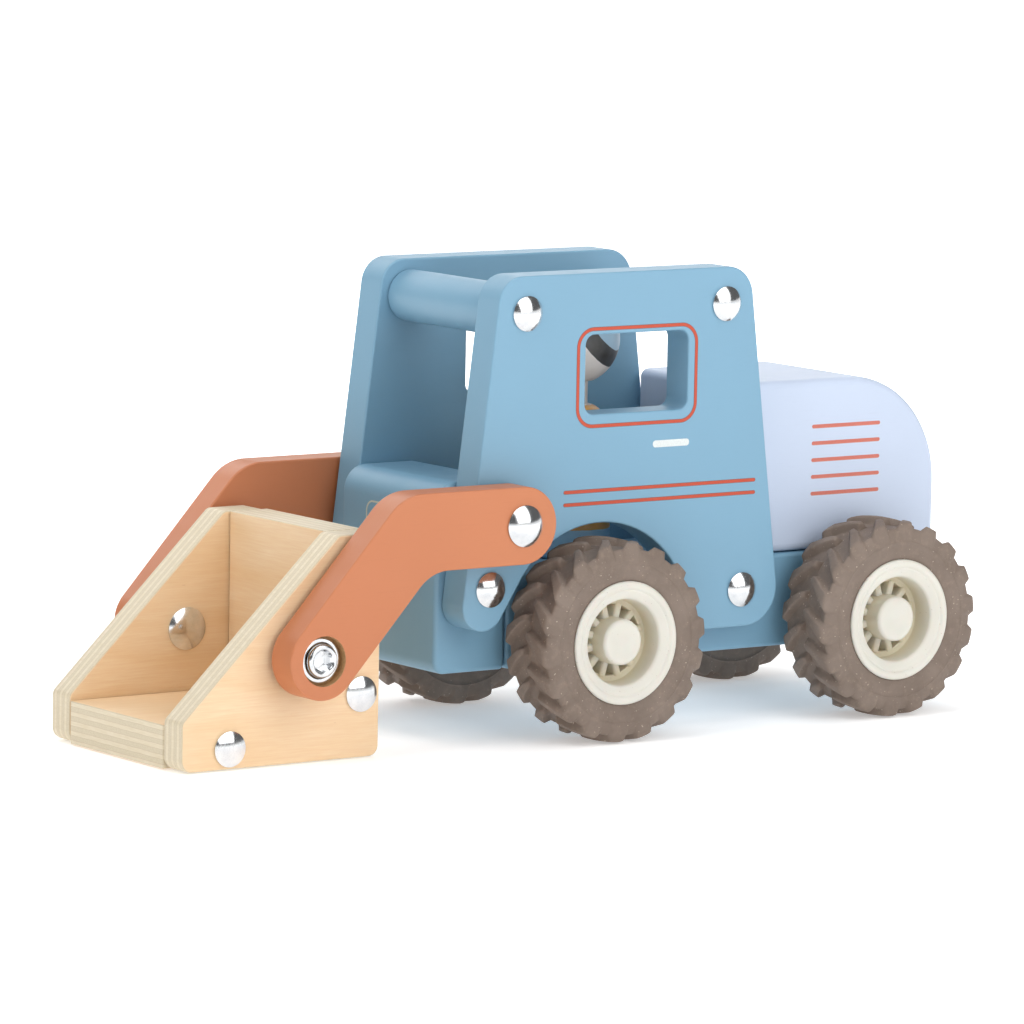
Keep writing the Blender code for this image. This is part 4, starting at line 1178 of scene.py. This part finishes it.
def add_lined_print(name, outline, wall, sign, inner=None):
    """A red line over a slightly wider dark one, whose rim shows as a thin border."""
    add_print(name + "_border", outline, wall, sign, dark_ink, inner)
    hole = None if inner is None else shifted(inner, BORDER)
    add_print(name, shifted(outline, -BORDER), wall + sign * INK, sign, red_ink, hole)


def bar(low_u, high_u, middle, width):
    """A straight line with round ends."""
    return rectangle(low_u, high_u, middle - width / 2, middle + width / 2, width * 0.499)


def add_prints():
    """Red lines on the cab sides and the hood, the door handle's dash, and a frame on the front block."""
    outer = rectangle(*PANEL, PANEL_ROUND)
    front = span("front_block")[1][0]
    add_print("printed_panel", outer, front, 1, cream_ink, shifted(outer, -PANEL_LINE), "X")
    for side, sign in SIDES:
        wall = flank_of(f"cab_side_{side}", sign)[1]
        for index, height in enumerate(STRIPES):
            line = bar(*STRIPE_ENDS, height, LINE)
            add_lined_print(f"printed_stripe_{side}_{index}", line, wall, sign)
        outer = rectangle(*FRAME, FRAME_ROUND)
        add_lined_print(f"printed_window_frame_{side}", outer, wall, sign, shifted(outer, -LINE))
        handle = rectangle(*HANDLE, HANDLE_ROUND)
        add_print(f"printed_door_handle_{side}", handle, wall, sign, white_ink)
        hood = flank_of("engine_hood", sign)[1]
        for index in range(VENTS):
            line = bar(*VENT_ENDS, VENT_LOWEST + index * VENT_PITCH, LINE)
            add_print(f"printed_hood_vent_{side}_{index}", line, hood, sign, faded_ink)


# ---------------------------------------------------------------- studio

FLOOR_HALF = 6.0
FLOOR_DROP = 0.0002


def add_floor():
    """A white floor under the tyres whose glow is painted light, faint near the toy and brighter away from
    it.
    """
    size = FLOOR_HALF
    corners = np.array([(-size, -size, 0), (size, -size, 0), (size, size, 0), (-size, size, 0)])
    mesh = bpy.data.meshes.new("studio_floor")
    mesh.from_pydata((corners - (0, 0, FLOOR_DROP)).tolist(), [], [(0, 1, 2, 3)])
    material, tree, shader, place = new_finish("white_floor_painted_glow", Roughness=0.9)
    shader.inputs["Base Color"].default_value = linear("F6F6F6")
    shader.inputs["Emission Color"].default_value = (1, 1, 1, 1)
    # Painted light: the floor glows, faintly near the toy and fully about a metre away.
    away = add(tree, "VectorMath", (place,), "Value", operation="LENGTH")
    glow = add(tree, "MapRange", (away, 0.15, 1.0, 0.36, 1.1))
    tree.links.new(glow, shader.inputs["Emission Strength"])
    mesh.materials.append(material)
    floor = bpy.data.objects.new("studio_floor", mesh)
    bpy.context.scene.collection.objects.link(floor)


# Name, bearing from +Y towards +X and height in degrees, distance, side and brightness.
SOFTBOXES = (
    ("softbox_main", -10, 33, 1.1, 1.05, 2.3),
    ("softbox_ahead", 84, 40, 1.2, 0.75, 2.5),
    ("softbox_far_side", 178, 30, 1.2, 0.9, 2.0),
    ("softbox_behind", 225, 30, 1.2, 0.7, 2.0),
    ("softbox_above", 0, 88, 1.2, 0.8, 2.4),
)


def add_softbox(name, bearing, height, away, size, brightness):
    """A square softbox that faces the toy.

    Its power is brightness times pi times its area, so every size of box looks equally bright.
    """
    lamp = bpy.data.lights.new(name, "AREA")
    lamp.size = size
    lamp.energy = brightness * pi * size * size
    bearing, height = radians(bearing), radians(height)
    toward = Vector((sin(bearing) * cos(height), cos(bearing) * cos(height), sin(height)))
    holder = bpy.data.objects.new(name, lamp)
    holder.location = Vector((0, 0, 0.06)) + toward * away
    holder.rotation_euler = toward.to_track_quat("Z", "Y").to_euler()
    bpy.context.scene.collection.objects.link(holder)


def add_surround():
    """A dim room above a pale horizon, so that plated parts show a white table under a dark ceiling."""
    world = bpy.data.worlds.new("dim_room_over_pale_horizon")
    world.use_nodes = True
    tree = world.node_tree
    direction = add(tree, "TexCoord", output="Generated")
    rise = add(tree, "SeparateXYZ", (direction,), "Z")
    level = add(tree, "MapRange", (rise, 0.06, 0.10, 1.05, 0.13))
    tree.links.new(level, tree.nodes["Background"].inputs["Strength"])
    tree.nodes["Background"].inputs["Color"].default_value = (1, 1, 1, 1)
    bpy.context.scene.world = world


CAMERA_PLACE = (1.11946, 1.58569, 0.31045)
CAMERA_YAW, CAMERA_PITCH, CAMERA_ROLL = radians(35.184), radians(7.333), radians(1.068)


def add_camera():
    """The camera on the toy's front left, turned by yaw from +Y, then down by pitch, then by roll."""
    back = Vector((sin(CAMERA_YAW), cos(CAMERA_YAW), 0))
    right = Vector((-cos(CAMERA_YAW), sin(CAMERA_YAW), 0))
    up = Vector((0, 0, 1))
    behind = back * cos(CAMERA_PITCH) + up * sin(CAMERA_PITCH)
    above = up * cos(CAMERA_PITCH) - back * sin(CAMERA_PITCH)
    across = right * cos(CAMERA_ROLL) + above * sin(CAMERA_ROLL)
    above = above * cos(CAMERA_ROLL) - right * sin(CAMERA_ROLL)
    camera = bpy.data.cameras.new("camera")
    camera.sensor_width = 36
    camera.lens = 238.94
    camera.clip_end = 50
    holder = bpy.data.objects.new("camera", camera)
    turn = Matrix((across, above, behind)).transposed().to_4x4()
    holder.matrix_world = Matrix.Translation(CAMERA_PLACE) @ turn
    bpy.context.scene.collection.objects.link(holder)
    bpy.context.scene.camera = holder


add_blocks()
add_cab()
add_arms()
add_bucket()
add_caps()
add_rings()
add_bolts()
add_rods()
add_wheels()
add_driver()
add_prints()

add_floor()
for softbox in SOFTBOXES:
    add_softbox(*softbox)
add_surround()
add_camera()
bpy.context.scene.view_settings.view_transform = "Standard"

bpy.context.view_layer.update()
